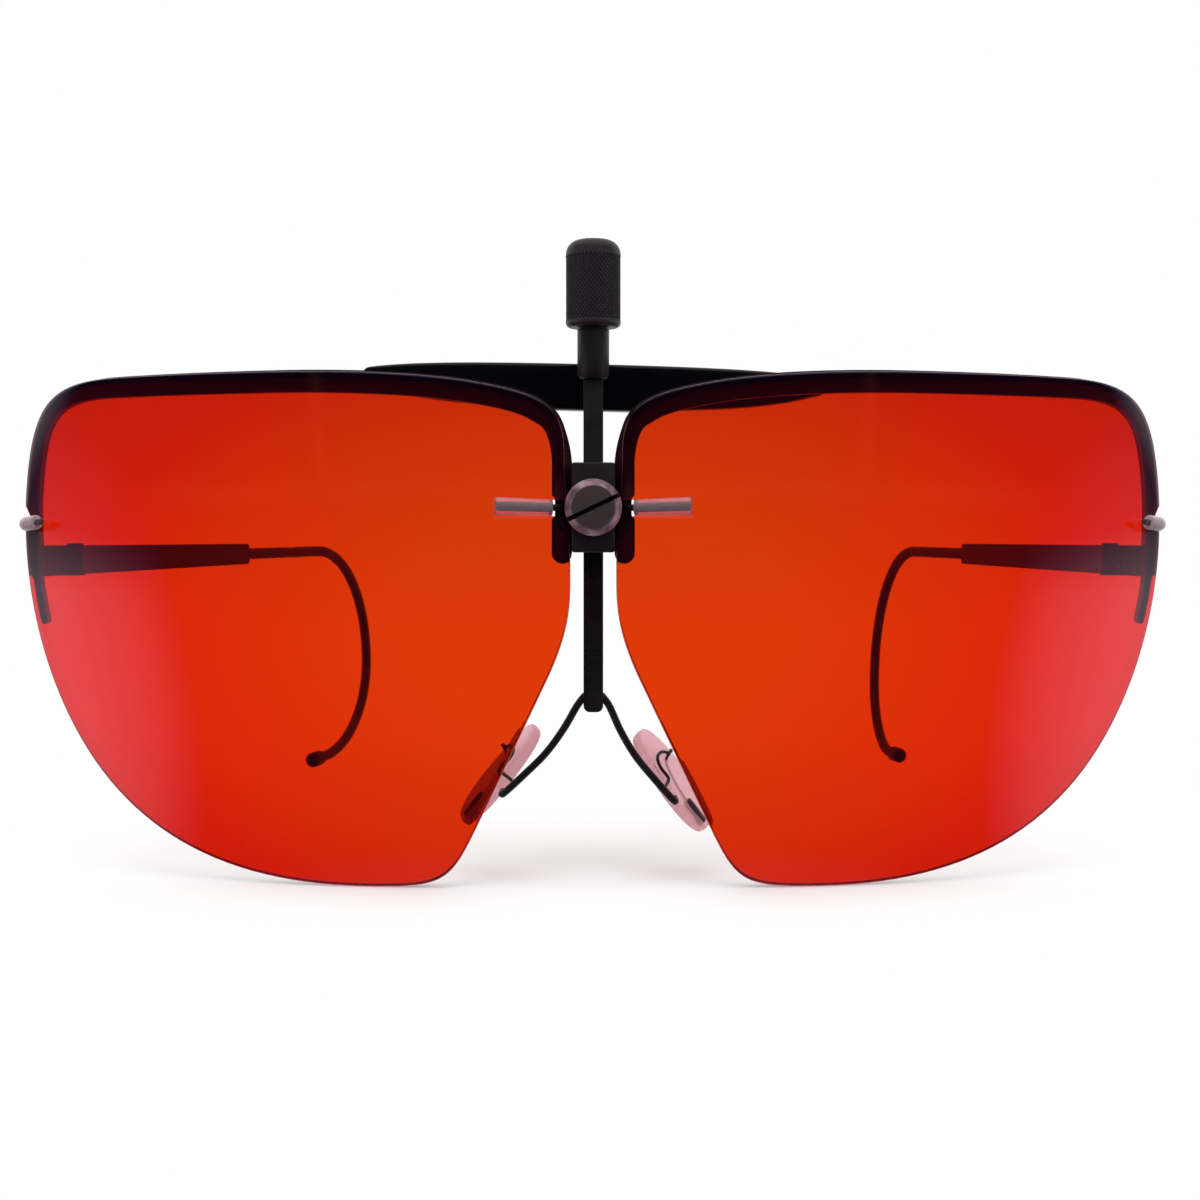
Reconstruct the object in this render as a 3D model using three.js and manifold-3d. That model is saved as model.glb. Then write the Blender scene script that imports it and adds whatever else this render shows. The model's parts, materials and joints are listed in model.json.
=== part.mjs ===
// Shooting glasses: two spherical lenses clipped onto half rims by sleeved wire prongs, a bridge block
// that clamps a sliding nose bar with a knurled knob, adjustable nose pads, a brow bar, and folding
// temples that end in bent ear cables. Millimetres, +Z up. The front faces -Y and +X is to the right
// of someone looking at the front. The glasses stand on the lens bottoms and the ear cable tips.
import * as THREE from 'three';
import { mergeVertices } from 'three/addons/utils/BufferGeometryUtils.js';
import Module from 'manifold-3d';

const wasm = await Module();
wasm.setup();

// Clearances shared by every fit
const seatGap = 0.3; // brazed, clipped or butted pieces
const runningGap = 0.15; // pins, screws and sliding faces
const cutMargin = 3; // how far a cutting shape runs past what it cuts

// Bridge block and clamp screw
const blockWidth = 5.2;
const blockBottomZ = 42;
const blockHeight = 10.9;
const blockFrontY = 1.6;
const blockDepth = 8.6;
const blockEdge = 0.4; // chamfer
const screwZ = 47.45;
const screwHeadDiameter = 6.9;
const screwHeadHeight = 2;
const screwChamfer = 0.8;
const screwShankDiameter = 2.8;
const screwSlotWidth = 0.55;
const screwSlotDepth = 0.8;
const screwSlotAngle = 25.7; // degrees, rising to +X

// Lens blanks: concentric spheres around an axis that runs front to back
const lensRadius = 88;
const lensThickness = 2;
const lensAxisX = 20;
const lensAxisZ = 34;

// Lens outline seen from the front, for the lens on +X; the lens bottom is at z = 0
const lensOuterX = 75.1;
const lensTopZ = 64.4;
const lensWidestZ = 50.5;
const lensBottomX = 29;
const bridgeEdgeBottomZ = 40;
const bridgeEdgeTopZ = 53.5;
const bridgeEdgeLean = 0.75; // how far the inner edge leans out by its top
const innerCornerX = 15; // where the rounded inner corner runs into the top edge
const innerCornerDrop = 1.6; // and how far below the top edge that is
const innerCornerRise = 9.4; // degrees, slope of the edge there
const topEdgeStartX = 40;
const topEdgeEndX = 62;
const jawX = 66.3; // where the outer side turns into the round bottom
const jawZ = 17.6;
const jawAngle = 58; // degrees below level
const noseFootX = 14.5; // lower end of the straight nose cut
const noseFootZ = 7.75;
const noseTopX = 5.6; // upper end of the nose cut
const noseTopZ = 26.5;

// Half rims: a dished band behind the upper edge of each lens; a negative inset stands out past the edge
const rimThickness = 1.2;
const rimLegWidth = 2.3; // leg beside the bridge block
const rimLegFootZ = 40.5; // lowest point of its round foot
const rimLegBlend = 1; // the leg starts to follow the lens edge this far below its corner
const rimTop = { inset: -0.35, width: 2.85 };
const rimSide = { inset: -0.2, width: 1.9 };
const rimTail = { inset: 0.9, width: 1.1 };
const rimTailFootZ = 32.2;
const rimTailRun = 5.7; // narrow end of the tail
const rimTailBlend = 1.8; // stretch over which the side narrows to the tail
const prongBoss = 2.4; // round widening of the rim where the outer prong stands

// Wire prongs and their sleeves
const prongDiameter = 1;
const sleeveDiameter = 1.9;
const innerProngZ = 47.4;
const innerProngRun = 7.6;
const innerSleeveStart = 1.4; // bare wire between the bend and the sleeve
const innerSleeveOverhang = 0.3; // sleeve past the end of the wire
const outerProngInset = 0.5; // from the lens's outermost edge
const outerProngZ = 45.9;
const outerProngRun = 3.6;
const outerProngBareTip = 0.7;
const prongBend = 0.9;
const prongTail = 0.5; // wire left standing behind the rim
const notchClearance = 0.7; // lens notch around a prong
const outerNotchFlare = 1.9; // the outer notch opens upwards in a V

// Nose bar
const barWidth = 2.45;
const barThickness = 1.5;
const barFrontY = 6.8;
const barBottomZ = 22;
const forkTopZ = 25.6; // the bar spreads below this to carry the pad arms
const forkSeat = 1.2; // flat that an arm is brazed to
const armX = 1.7; // middle of that flat
const armZ = 23.2;

// Knob on the nose bar
const ferruleRise = 10.5; // its lower end above the bridge block, which is how far the bar slides down
const ferruleLength = 6.15;
const ferruleDiameter = 3.95;
const ferruleEdge = 0.4; // chamfer
const knobDiameter = 6.8;
const knobHeight = 10.75;
const knobDome = 1.8;
const knobLowerRound = 0.8;
const knobSpigotLength = 1.6;
const barEndGap = 0.5; // between the bar's top and the spigot

// Pad arms, in a frame at the fork with the arm running down its -Z axis
const armDiameter = 1;
const armBow = 0.85; // how far the wire bows towards the nose
const armDrop = 15.2; // lowest point of its hairpin turn
const armReturn = 2.6; // rise of the second leg before it goes back to the hinge box
const armPadGap = 0.6; // second leg in front of the pad's edge

// Nose pads, in a frame with X out of the pad, Y along its width and Z along its height
const padWidth = 8.4;
const padHeight = 15.2;
const padThickness = 2.2;
const padBelowWidest = 6.4; // height of the pad below its widest line
const padRound = 0.7;
const padBack = 7.6; // pad middle behind the arm
const padPivotZ = 3.2; // the pad's hinge above its middle
const padPivotOut = 0.95; // the pin in front of the pad's face
const insertWidth = 2.4;
const insertHeight = 11;
const insertDrop = 0.5; // its middle below the pad's
const insertThickness = 0.8;
const tabThickness = 0.9;
const tabRadius = 0.62;
const padPinDiameter = 0.6;
const padPinHeadDiameter = 1.3;
const boxWall = 0.6;
const boxHeight = 1.6;

// Brow bar: nearly flat on top, bellied below, blunt round ends
const browHalfLength = 29.9;
const browRise = 1.3; // its top above the lenses
const browMiddleHeight = 5.95;
const browEndHeight = 2.7;
const browTopDrop = 0.7; // how far its top falls at the ends
const browThickness = 3;
const browFrontY = 11.4;
const browPlanRadius = 130;
const browTilt = 1.4; // degrees, higher on -X
const studDiameter = 1.2;
const studCollarDiameter = 2.4;
const studDepth = 1.8; // how deep it sits in the brow bar

// Hinges: pins upright, the strips of endpiece and temple lie outside them
const hingeInset = 5.3; // pin from the lens's outermost edge
const templeZ = 40.5;
const endpieceLength = 5;
const endpieceFootBack = 0.8; // the foot on the rim ends this far in front of the pin
const endpieceFootSpread = 2.6; // and is this much wider than the strip
const templeHeight = 4;
const stripOffset = 1.6;
const templeThickness = 2;
const knuckleDiameter = 2.6;
const middleKnuckleHeight = 1.4;
const hingePinDiameter = 1.2;
const hingeHeadDiameter = 2.1;
const hingeHeadHeight = 0.6;
const hingeSlotWidth = 0.35;
const hingeSlotDepth = 0.3;

// Temples and ear cables
const templeLength = 56.5;
const templeEndHeight = 3.4;
const cableDiameter = 1.9;
const cableCoreDiameter = 0.9;
const cableCoreLength = 4;
const cableLevelEnd = 1.5; // straight stretch that goes into the tip
const tipDiameter = 2.8;
const tipLength = 5;
const tipSocketDepth = 2;

// What the wearer has set differently on each side: the temple's angle, the arm's splay, the pad's tilt from
// upright and its turn towards the face, all in degrees, the pad's middle in the arm's frame, and the bend of
// the cable
const leftSet = { templeAngle: 13.5, armSplay: 40, padTilt: 39, padTurn: 13, padOut: 1.5, padDown: 14.3 };
const leftHook = { hookStart: 88, hookReach: 24.4, hookBackZ: 18, hookReturn: 22 };
const rightSet = { templeAngle: 9, armSplay: 34.3, padTilt: 36.5, padTurn: 20, padOut: 0.9, padDown: 13.8 };
const rightHook = { hookStart: 82, hookReach: 22.2, hookBackZ: 14, hookReturn: 9.5 };
const sides = [
  { name: 'left', sign: -1, ...leftSet, ...leftHook },
  { name: 'right', sign: 1, ...rightSet, ...rightHook },
];

// Facet counts
const blankSegments = 56;
const blankRings = 10;
const outlineDivisions = 7;
const edgeSamples = 110;
const roundSegments = 24;
const smallSegments = 12; // pins, studs and tips
const wireSides = 8;
const prongSteps = 12;
const armSteps = 22;
const hookSteps = 32;

// Sizes that follow from the ones above
const blockTopZ = blockBottomZ + blockHeight;
const blockBackY = blockFrontY + blockDepth;
const lensInnerX = blockWidth / 2 + runningGap;
const innerCornerZ = lensTopZ - innerCornerDrop;
const rimFrontRadius = lensRadius - lensThickness - seatGap;
const rimBackRadius = rimFrontRadius - rimThickness;
const legX = blockWidth / 2 + seatGap;
const innerProngX = legX + rimLegWidth / 2;
const outerProngX = lensOuterX - outerProngInset;
const notchHalf = prongDiameter / 2 + notchClearance;
const sleeveBore = prongDiameter + 2 * runningGap;
const barY = barFrontY + barThickness / 2;
const ferruleBottomZ = blockTopZ + ferruleRise;
const knobBottomZ = ferruleBottomZ + ferruleLength + runningGap;
const knobTopZ = knobBottomZ + knobHeight;
const ferruleBore = Math.hypot(barWidth, barThickness) / 2 + runningGap;
const padPivotX = padThickness / 2 + padPivotOut;
const boxInside = tabThickness / 2 + runningGap;
const boxOutside = boxInside + boxWall;
const browTopZ = lensTopZ + browRise;
const browMiddleZ = browTopZ - browMiddleHeight / 2;
const studX = innerCornerX;
const studZ = innerCornerZ - rimTop.inset - rimTop.width / 2;
const barLaneX = stripOffset + templeThickness / 2;
const hingeX = lensOuterX - hingeInset;
const hingeY = sphereY(rimBackRadius, hingeX + barLaneX, templeZ) + endpieceLength;
const tipMiddleZ = tipDiameter / 2 - templeZ;
const degrees = THREE.MathUtils.degToRad;

// Finishes
const tintedLens = () => new THREE.MeshStandardMaterial({
  color: 0xd42a00, roughness: 0.06, metalness: 0, transparent: true, opacity: 0.75,
});
const blackMetal = () => new THREE.MeshStandardMaterial({ color: 0x1f1c1d, roughness: 0.5, metalness: 0.6 });
const wornSteel = () => new THREE.MeshStandardMaterial({ color: 0x5c4d4a, roughness: 0.4, metalness: 0.9 });
const clearSleeve = () => new THREE.MeshStandardMaterial({
  color: 0xe8a9b4, roughness: 0.2, metalness: 0, transparent: true, opacity: 0.6,
});
const blackPlastic = () => new THREE.MeshStandardMaterial({ color: 0x08090a, roughness: 0.25, metalness: 0 });
const cableCoat = () => new THREE.MeshStandardMaterial({ color: 0x221c1c, roughness: 0.55, metalness: 0.2 });

// Depth of a sphere around the blank's centre, at a place seen from the front
function sphereY(radius, x, z) {
  return lensRadius - Math.sqrt(radius ** 2 - (x - lensAxisX) ** 2 - (z - lensAxisZ) ** 2);
}

// Solids for cutting and joining
function solid(geometry) {
  const bare = geometry.clone();
  bare.deleteAttribute('normal');
  bare.deleteAttribute('uv');
  const merged = mergeVertices(bare, 1e-4);
  const index = merged.index.array;
  const triangles = [];
  for (let i = 0; i < index.length; i += 3) {
    const [a, b, c] = [index[i], index[i + 1], index[i + 2]];
    if (a !== b && b !== c && c !== a) triangles.push(a, b, c);
  }
  return new wasm.Manifold(new wasm.Mesh({
    numProp: 3,
    vertProperties: new Float32Array(merged.attributes.position.array),
    triVerts: new Uint32Array(triangles),
  }));
}

function shell(manifold) {
  const mesh = manifold.getMesh();
  const geometry = new THREE.BufferGeometry();
  geometry.setAttribute('position', new THREE.BufferAttribute(mesh.vertProperties, 3));
  geometry.setIndex(new THREE.BufferAttribute(mesh.triVerts, 1));
  geometry.computeVertexNormals();
  return geometry;
}

// The same shape for the other side of the glasses
function handed(geometry, sign) {
  if (sign > 0) return geometry.clone();
  const mirrored = geometry.index ? geometry.toNonIndexed() : geometry.clone();
  const place = mirrored.attributes.position;
  for (let i = 0; i < place.count; i += 3) {
    const corners = [0, 1, 2].map((k) => new THREE.Vector3().fromBufferAttribute(place, i + k));
    corners.reverse().forEach((corner, k) => place.setXYZ(i + k, -corner.x, corner.y, corner.z));
  }
  mirrored.computeVertexNormals();
  return mirrored;
}

// Plates: an outline given as seen from the front, from the side or from above, and its extent
function plate(shape, depth, xAxis, yAxis, zAxis) {
  const options = { depth, bevelEnabled: false, curveSegments: outlineDivisions };
  const axes = new THREE.Matrix4().makeBasis(xAxis, yAxis, zAxis);
  return new THREE.ExtrudeGeometry(shape, options).applyMatrix4(axes);
}
const alongX = new THREE.Vector3(1, 0, 0);
const alongY = new THREE.Vector3(0, 1, 0);
const alongZ = new THREE.Vector3(0, 0, 1);
const forwards = new THREE.Vector3(0, -1, 0);

function frontPlate(shape, frontY, backY) {
  return plate(shape, backY - frontY, alongX, alongZ, forwards).translate(0, backY, 0);
}

function sidePlate(shape, fromX, toX) {
  return plate(shape, toX - fromX, alongY, alongZ, alongX).translate(fromX, 0, 0);
}

function planPlate(shape, fromZ, toZ) {
  return plate(shape, toZ - fromZ, alongX, alongY, alongZ).translate(0, 0, fromZ);
}

// A cutting tool with a front outline, through everything between the lens fronts and the blank's centre
function frontCutter(shape) {
  return solid(frontPlate(shape, -cutMargin, lensRadius));
}

function rectangle(fromX, fromY, toX, toY) {
  const corners = [[fromX, fromY], [toX, fromY], [toX, toY], [fromX, toY]];
  return new THREE.Shape(corners.map(([x, y]) => new THREE.Vector2(x, y)));
}

function disc(diameter, x = 0, y = 0) {
  return new THREE.Shape().absarc(x, y, diameter / 2, 0, 2 * Math.PI, false);
}

// A slot with round ends that lies level
function levelSlot(fromX, toX, y, height) {
  const slot = new THREE.Shape();
  slot.absarc(toX, y, height / 2, -Math.PI / 2, Math.PI / 2, false);
  slot.absarc(fromX, y, height / 2, Math.PI / 2, 1.5 * Math.PI, false);
  return slot;
}

// Closed curve through knots: a heading in degrees at each one, and how far its handles reach before and
// after it, as shares of the way to the neighbouring knot
function smoothOutline(knots) {
  const outline = new THREE.Shape();
  outline.moveTo(knots[0].x, knots[0].z);
  knots.forEach((from, i) => {
    const to = knots[(i + 1) % knots.length];
    const span = Math.hypot(to.x - from.x, to.z - from.z);
    const leaving = new THREE.Vector2(span * from.after, 0);
    const arriving = new THREE.Vector2(span * to.before, 0);
    const origin = new THREE.Vector2();
    leaving.rotateAround(origin, degrees(from.heading));
    arriving.rotateAround(origin, degrees(to.heading));
    leaving.add(new THREE.Vector2(from.x, from.z));
    arriving.subVectors(new THREE.Vector2(to.x, to.z), arriving);
    outline.bezierCurveTo(leaving.x, leaving.y, arriving.x, arriving.y, to.x, to.z);
  });
  return outline;
}

// Round wire or tube along a path, with an optional bore
function wire(path, diameter, steps, bore = 0) {
  const section = disc(diameter);
  if (bore > 0) section.holes.push(disc(bore));
  return new THREE.ExtrudeGeometry(section, {
    steps, extrudePath: path, bevelEnabled: false, curveSegments: wireSides / 2,
  });
}

function straight(from, to) {
  return new THREE.LineCurve3(from, to);
}

// Turned piece about the Y axis: radius and height pairs that start and end on the axis or on each other
function turned(profile, segments = roundSegments) {
  const points = profile.map(([radius, height]) => new THREE.Vector2(radius, height));
  return new THREE.LatheGeometry(points, segments);
}

function upright(geometry) {
  return geometry.rotateX(Math.PI / 2);
}

function quarterRound(centreRadius, centreHeight, radius, fromAngle, steps) {
  const points = [];
  for (let i = 0; i <= steps; i++) {
    const angle = fromAngle + (Math.PI / 2) * (i / steps);
    points.push([centreRadius + radius * Math.cos(angle), centreHeight + radius * Math.sin(angle)]);
  }
  return points;
}

function add(parent, name, geometry, finish) {
  const mesh = new THREE.Mesh(geometry, finish());
  mesh.name = name;
  parent.add(mesh);
}

// Lens outline: up the inner edge, along the top, down the outer side, round the bottom, up the nose cut
function lensOutline() {
  const noseCut = THREE.MathUtils.radToDeg(Math.atan2(noseTopZ - noseFootZ, noseTopX - noseFootX));
  return smoothOutline([
    { x: lensInnerX, z: bridgeEdgeBottomZ, heading: 90, before: 0.27, after: 0.33 },
    { x: lensInnerX + bridgeEdgeLean, z: bridgeEdgeTopZ, heading: 90, before: 0.33, after: 0.34 },
    { x: innerCornerX, z: innerCornerZ, heading: innerCornerRise, before: 0.58, after: 0.24 },
    { x: topEdgeStartX, z: lensTopZ, heading: 0, before: 0.4, after: 0.33 },
    { x: topEdgeEndX, z: lensTopZ, heading: 0, before: 0.33, after: 0.6 },
    { x: lensOuterX, z: lensWidestZ, heading: -90, before: 0.54, after: 0.33 },
    { x: jawX, z: jawZ, heading: 180 + jawAngle, before: 0.33, after: 0.36 },
    { x: lensBottomX, z: 0, heading: 180, before: 0.41, after: 0.61 },
    { x: noseFootX, z: noseFootZ, heading: noseCut, before: 0.5, after: 0.33 },
    { x: noseTopX, z: noseTopZ, heading: noseCut, before: 0.33, after: 0.52 },
  ]);
}

// Arc of a sphere from the lens axis to past the outline's farthest point, as radius and depth
function sphereArc(radius) {
  const reach = lensOutline().getPoints().map((p) => Math.hypot(p.x - lensAxisX, p.y - lensAxisZ));
  const halfAngle = Math.asin((Math.max(...reach) + cutMargin) / radius);
  const arc = [];
  for (let i = 0; i <= blankRings; i++) {
    const angle = (halfAngle * i) / blankRings;
    arc.push(new THREE.Vector2(radius * Math.sin(angle), lensRadius - radius * Math.cos(angle)));
  }
  return arc;
}

function revolvedAboutLensAxis(profile) {
  return solid(new THREE.LatheGeometry(profile, blankSegments).translate(lensAxisX, 0, lensAxisZ));
}

// Meniscus between two spheres, before it is edged
function sphericalBlank(frontRadius, backRadius) {
  return revolvedAboutLensAxis([...sphereArc(frontRadius), ...sphereArc(backRadius).reverse()]);
}

// Everything nearer the wearer than a sphere around the blank's centre
function behindSphere(radius) {
  const arc = sphereArc(radius);
  const rim = new THREE.Vector2(arc[blankRings].x, lensRadius);
  return revolvedAboutLensAxis([...arc, rim, new THREE.Vector2(0, lensRadius)]);
}

// The outer notch: flat below, with a V that opens towards the lens edge above
function outerNotchOutline() {
  const bottomX = outerProngX - notchHalf;
  const outside = lensOuterX + cutMargin;
  const below = outerProngZ - notchHalf;
  const above = outerProngZ + notchHalf;
  const corners = [
    [outside, below],
    [bottomX, below],
    [bottomX, above],
    [outerProngX, above],
    [lensOuterX, above + outerNotchFlare],
    [outside, above + outerNotchFlare],
  ];
  return new THREE.Shape(corners.map(([x, z]) => new THREE.Vector2(x, z)));
}

function lens() {
  const innerNotch = levelSlot(0, innerProngX, innerProngZ, 2 * notchHalf);
  return shell(sphericalBlank(lensRadius, lensRadius - lensThickness)
    .intersect(frontCutter(lensOutline()))
    .subtract(frontCutter(innerNotch))
    .subtract(frontCutter(outerNotchOutline())));
}

// Two edges of the rim band beside one point of the lens edge
function rimBand(point, inward) {
  const { lerp, smoothstep } = THREE.MathUtils;
  let { inset, width } = rimTop;
  if (point.x > lensAxisX) {
    const tailTopZ = rimTailFootZ + rimTailRun;
    const sideways = Math.max(0, -inward.x);
    const tail = 1 - smoothstep(point.y, tailTopZ, tailTopZ + rimTailBlend);
    inset = lerp(lerp(inset, rimSide.inset, sideways), rimTail.inset, tail);
    width = lerp(lerp(width, rimSide.width, sideways), rimTail.width, tail);
  }
  const outer = point.clone().addScaledVector(inward, inset);
  const inner = point.clone().addScaledVector(inward, inset + width);
  if (point.x < lensAxisX) {
    const rise = smoothstep(point.y, bridgeEdgeTopZ - rimLegBlend, innerCornerZ);
    outer.lerpVectors(new THREE.Vector2(legX, point.y), outer, rise);
    inner.lerpVectors(new THREE.Vector2(legX + rimLegWidth, point.y), inner, rise);
  }
  return { outer, inner };
}

// The place between two points of the lens edge that lies at a height
function atHeight(from, to, z) {
  return from.clone().lerp(to, (z - from.y) / (to.y - from.y));
}

function rimOutline() {
  const edge = lensOutline().getSpacedPoints(edgeSamples);
  const legEndZ = rimLegFootZ + rimLegWidth / 2;
  const tailEndZ = rimTailFootZ + rimTail.width / 2;
  const first = edge.findIndex((p) => p.y > legEndZ) - 1;
  const last = edge.findIndex((p) => p.x > lensAxisX && p.y < tailEndZ);
  edge[first] = atHeight(edge[first], edge[first + 1], legEndZ);
  edge[last] = atHeight(edge[last - 1], edge[last], tailEndZ);
  const stations = [];
  for (let i = first; i <= last; i++) {
    const along = edge[i + 1].clone().sub(edge.at(i - 1)).normalize();
    stations.push(rimBand(edge[i], new THREE.Vector2(along.y, -along.x)));
  }
  const outline = new THREE.Shape(stations.map((s) => s.outer));
  const roundEnd = (from, to) => {
    const middle = from.clone().add(to).multiplyScalar(0.5);
    const angle = Math.atan2(from.y - middle.y, from.x - middle.x);
    outline.absarc(middle.x, middle.y, from.distanceTo(middle), angle, angle - Math.PI, true);
  };
  const tail = stations[stations.length - 1];
  roundEnd(tail.outer, tail.inner);
  stations.slice(1, -1).reverse().forEach((s) => outline.lineTo(s.inner.x, s.inner.y));
  roundEnd(stations[0].inner, stations[0].outer);
  return outline;
}

function rim() {
  const outline = frontCutter(rimOutline()).add(frontCutter(disc(prongBoss, outerProngX, outerProngZ)));
  return shell(sphericalBlank(rimFrontRadius, rimBackRadius)
    .intersect(outline)
    .subtract(frontCutter(disc(studDiameter + 2 * runningGap, studX, studZ)))
    .subtract(frontCutter(disc(sleeveBore, innerProngX, innerProngZ)))
    .subtract(frontCutter(disc(sleeveBore, outerProngX, outerProngZ))));
}

// A prong runs forwards from behind the rim to an elbow in front of the lens, then along the lens
function prongLine(x, z) {
  const centre = new THREE.Vector3(lensAxisX, lensRadius, lensAxisZ);
  const elbow = new THREE.Vector3(x, sphereY(lensRadius + seatGap + sleeveDiameter / 2, x, z), z);
  const back = new THREE.Vector3(x, sphereY(rimBackRadius, x, z) + prongTail, z);
  const normal = elbow.clone().sub(centre).normalize();
  const along = alongX.clone().multiplyScalar(Math.sign(lensAxisX - x));
  along.addScaledVector(normal, -along.dot(normal)).normalize();
  const bend = new THREE.QuadraticBezierCurve3(
    elbow.clone().addScaledVector(forwards, -prongBend),
    elbow,
    elbow.clone().addScaledVector(along, prongBend),
  );
  const at = (run) => elbow.clone().addScaledVector(along, run);
  return { back, bend, at };
}

const innerProngLine = prongLine(innerProngX, innerProngZ);
const outerProngLine = prongLine(outerProngX, outerProngZ);

function prong({ back, bend, at }, run) {
  const path = new THREE.CurvePath();
  path.add(straight(back, bend.v0));
  path.add(bend);
  path.add(straight(bend.v2, at(run)));
  return wire(path, prongDiameter, prongSteps);
}

function innerSleeve({ at }) {
  const path = straight(at(innerSleeveStart), at(innerProngRun + innerSleeveOverhang));
  return wire(path, sleeveDiameter, 1, sleeveBore);
}

// The outer sleeve is short and goes round the bend
function outerSleeve({ bend, at }) {
  const path = new THREE.CurvePath();
  path.add(bend);
  path.add(straight(bend.v2, at(outerProngRun - outerProngBareTip)));
  return wire(path, sleeveDiameter, prongSteps / 2, sleeveBore);
}

function bridgeBlock() {
  const half = blockWidth / 2;
  const front = new THREE.Shape();
  front.moveTo(-half + blockEdge, blockBottomZ);
  front.lineTo(half - blockEdge, blockBottomZ);
  front.lineTo(half, blockBottomZ + blockEdge);
  front.lineTo(half, blockTopZ - blockEdge);
  front.lineTo(half - blockEdge, blockTopZ);
  front.lineTo(-half + blockEdge, blockTopZ);
  front.lineTo(-half, blockTopZ - blockEdge);
  front.lineTo(-half, blockBottomZ + blockEdge);
  const slotHalf = barWidth / 2 + runningGap;
  const slot = rectangle(-slotHalf, barFrontY - runningGap, slotHalf, barFrontY + barThickness + runningGap);
  const screwHole = disc(screwShankDiameter + 2 * runningGap, 0, screwZ);
  return shell(solid(frontPlate(front, blockFrontY, blockBackY))
    .subtract(solid(planPlate(slot, blockBottomZ - cutMargin, blockTopZ + cutMargin)))
    .subtract(solid(frontPlate(screwHole, blockFrontY - cutMargin, barY))));
}

// Chamfered slotted head in front of the block, with a shank that presses on the nose bar
function clampScrew() {
  const headRadius = screwHeadDiameter / 2;
  const headBack = blockFrontY - runningGap;
  const headFront = headBack - screwHeadHeight;
  const shankEnd = barFrontY - runningGap;
  const body = turned([
    [0, headFront],
    [headRadius - screwChamfer, headFront],
    [headRadius, headFront + screwChamfer],
    [headRadius, headBack],
    [screwShankDiameter / 2, headBack],
    [screwShankDiameter / 2, shankEnd],
    [0, shankEnd],
  ]);
  const slot = frontPlate(
    rectangle(-headRadius, -screwSlotWidth / 2, headRadius, screwSlotWidth / 2),
    headFront - cutMargin,
    headFront + screwSlotDepth,
  );
  const cut = solid(body).subtract(solid(slot.rotateY(-degrees(screwSlotAngle))));
  return shell(cut).translate(0, 0, screwZ);
}

// The flat on the fork that one arm is brazed to, square to the arm
function forkFlat({ sign, armSplay }) {
  const middle = new THREE.Vector2(sign * armX, armZ);
  const across = new THREE.Vector2(sign * Math.cos(degrees(armSplay)), Math.sin(degrees(armSplay)));
  const outer = middle.clone().addScaledVector(across, forkSeat / 2);
  const inner = middle.clone().addScaledVector(across, -forkSeat / 2);
  return { outer, inner };
}

function noseBar() {
  const half = barWidth / 2;
  const topZ = knobBottomZ - knobSpigotLength - barEndGap;
  const [left, right] = sides.map(forkFlat);
  const belly = 2 * barBottomZ - (left.inner.y + right.inner.y) / 2;
  const front = new THREE.Shape();
  front.moveTo(half, topZ);
  front.lineTo(-half, topZ);
  front.lineTo(-half, forkTopZ);
  front.quadraticCurveTo(-half, (forkTopZ + left.outer.y) / 2, left.outer.x, left.outer.y);
  front.lineTo(left.inner.x, left.inner.y);
  front.quadraticCurveTo(0, belly, right.inner.x, right.inner.y);
  front.lineTo(right.outer.x, right.outer.y);
  front.quadraticCurveTo(half, (forkTopZ + right.outer.y) / 2, half, forkTopZ);
  return frontPlate(front, barFrontY, barFrontY + barThickness);
}

// Collar that takes the bar's upper end from below and the knob's spigot from above
function knobFerrule() {
  const outer = ferruleDiameter / 2;
  const topZ = ferruleBottomZ + ferruleLength;
  const profile = [
    [ferruleBore, ferruleBottomZ],
    [outer - ferruleEdge / 2, ferruleBottomZ],
    [outer, ferruleBottomZ + ferruleEdge],
    [outer, topZ],
    [ferruleBore, topZ],
    [ferruleBore, ferruleBottomZ],
  ];
  return upright(turned(profile)).translate(0, barY, 0);
}

function knob() {
  const radius = knobDiameter / 2;
  const spigot = ferruleBore - runningGap;
  const profile = [
    [0, knobBottomZ - knobSpigotLength],
    [spigot, knobBottomZ - knobSpigotLength],
    [spigot, knobBottomZ],
    ...quarterRound(radius - knobLowerRound, knobBottomZ + knobLowerRound, knobLowerRound, -Math.PI / 2, 3),
    ...quarterRound(radius - knobDome, knobTopZ - knobDome, knobDome, 0, 5),
    [0, knobTopZ],
  ];
  return upright(turned(profile)).translate(0, barY, 0);
}

// How a pad on +X is turned in its arm's frame
function padTurnout({ padTilt, padTurn, armSplay }) {
  return new THREE.Euler(0, -degrees(padTilt - armSplay), -degrees(padTurn), 'YZX');
}

// The middle of the hinge box's lower end in the arm's frame
function boxFoot(side) {
  const foot = new THREE.Vector3(padPivotX + tabRadius, 0, padPivotZ - boxHeight / 2 - seatGap);
  return foot.applyEuler(padTurnout(side)).add(new THREE.Vector3(side.padOut, padBack, -side.padDown));
}

// Wire from the fork down to a hairpin turn, up again in front of the pad, and back to the hinge box
function padArm(side) {
  const foot = boxFoot(side);
  const frontY = padBack - padWidth / 2 - armPadGap - armDiameter / 2;
  const path = new THREE.CatmullRomCurve3([
    new THREE.Vector3(0, 0, -seatGap),
    new THREE.Vector3(-0.7 * armBow, 0, -armDrop / 4),
    new THREE.Vector3(-armBow, 0, -armDrop / 2),
    new THREE.Vector3(-0.6 * armBow, 0, -0.75 * armDrop),
    new THREE.Vector3(0, 0.4 * frontY, -armDrop),
    new THREE.Vector3(armDiameter, frontY, -armDrop + armReturn / 2),
    new THREE.Vector3(foot.x - armDiameter, frontY + armDiameter / 2, -armDrop + armReturn),
    new THREE.Vector3(foot.x, (frontY + foot.y) / 2, foot.z - armDiameter),
    new THREE.Vector3(foot.x, foot.y - armDiameter / 4, foot.z - armDiameter),
    foot,
  ]);
  return wire(path, armDiameter, armSteps);
}

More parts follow.
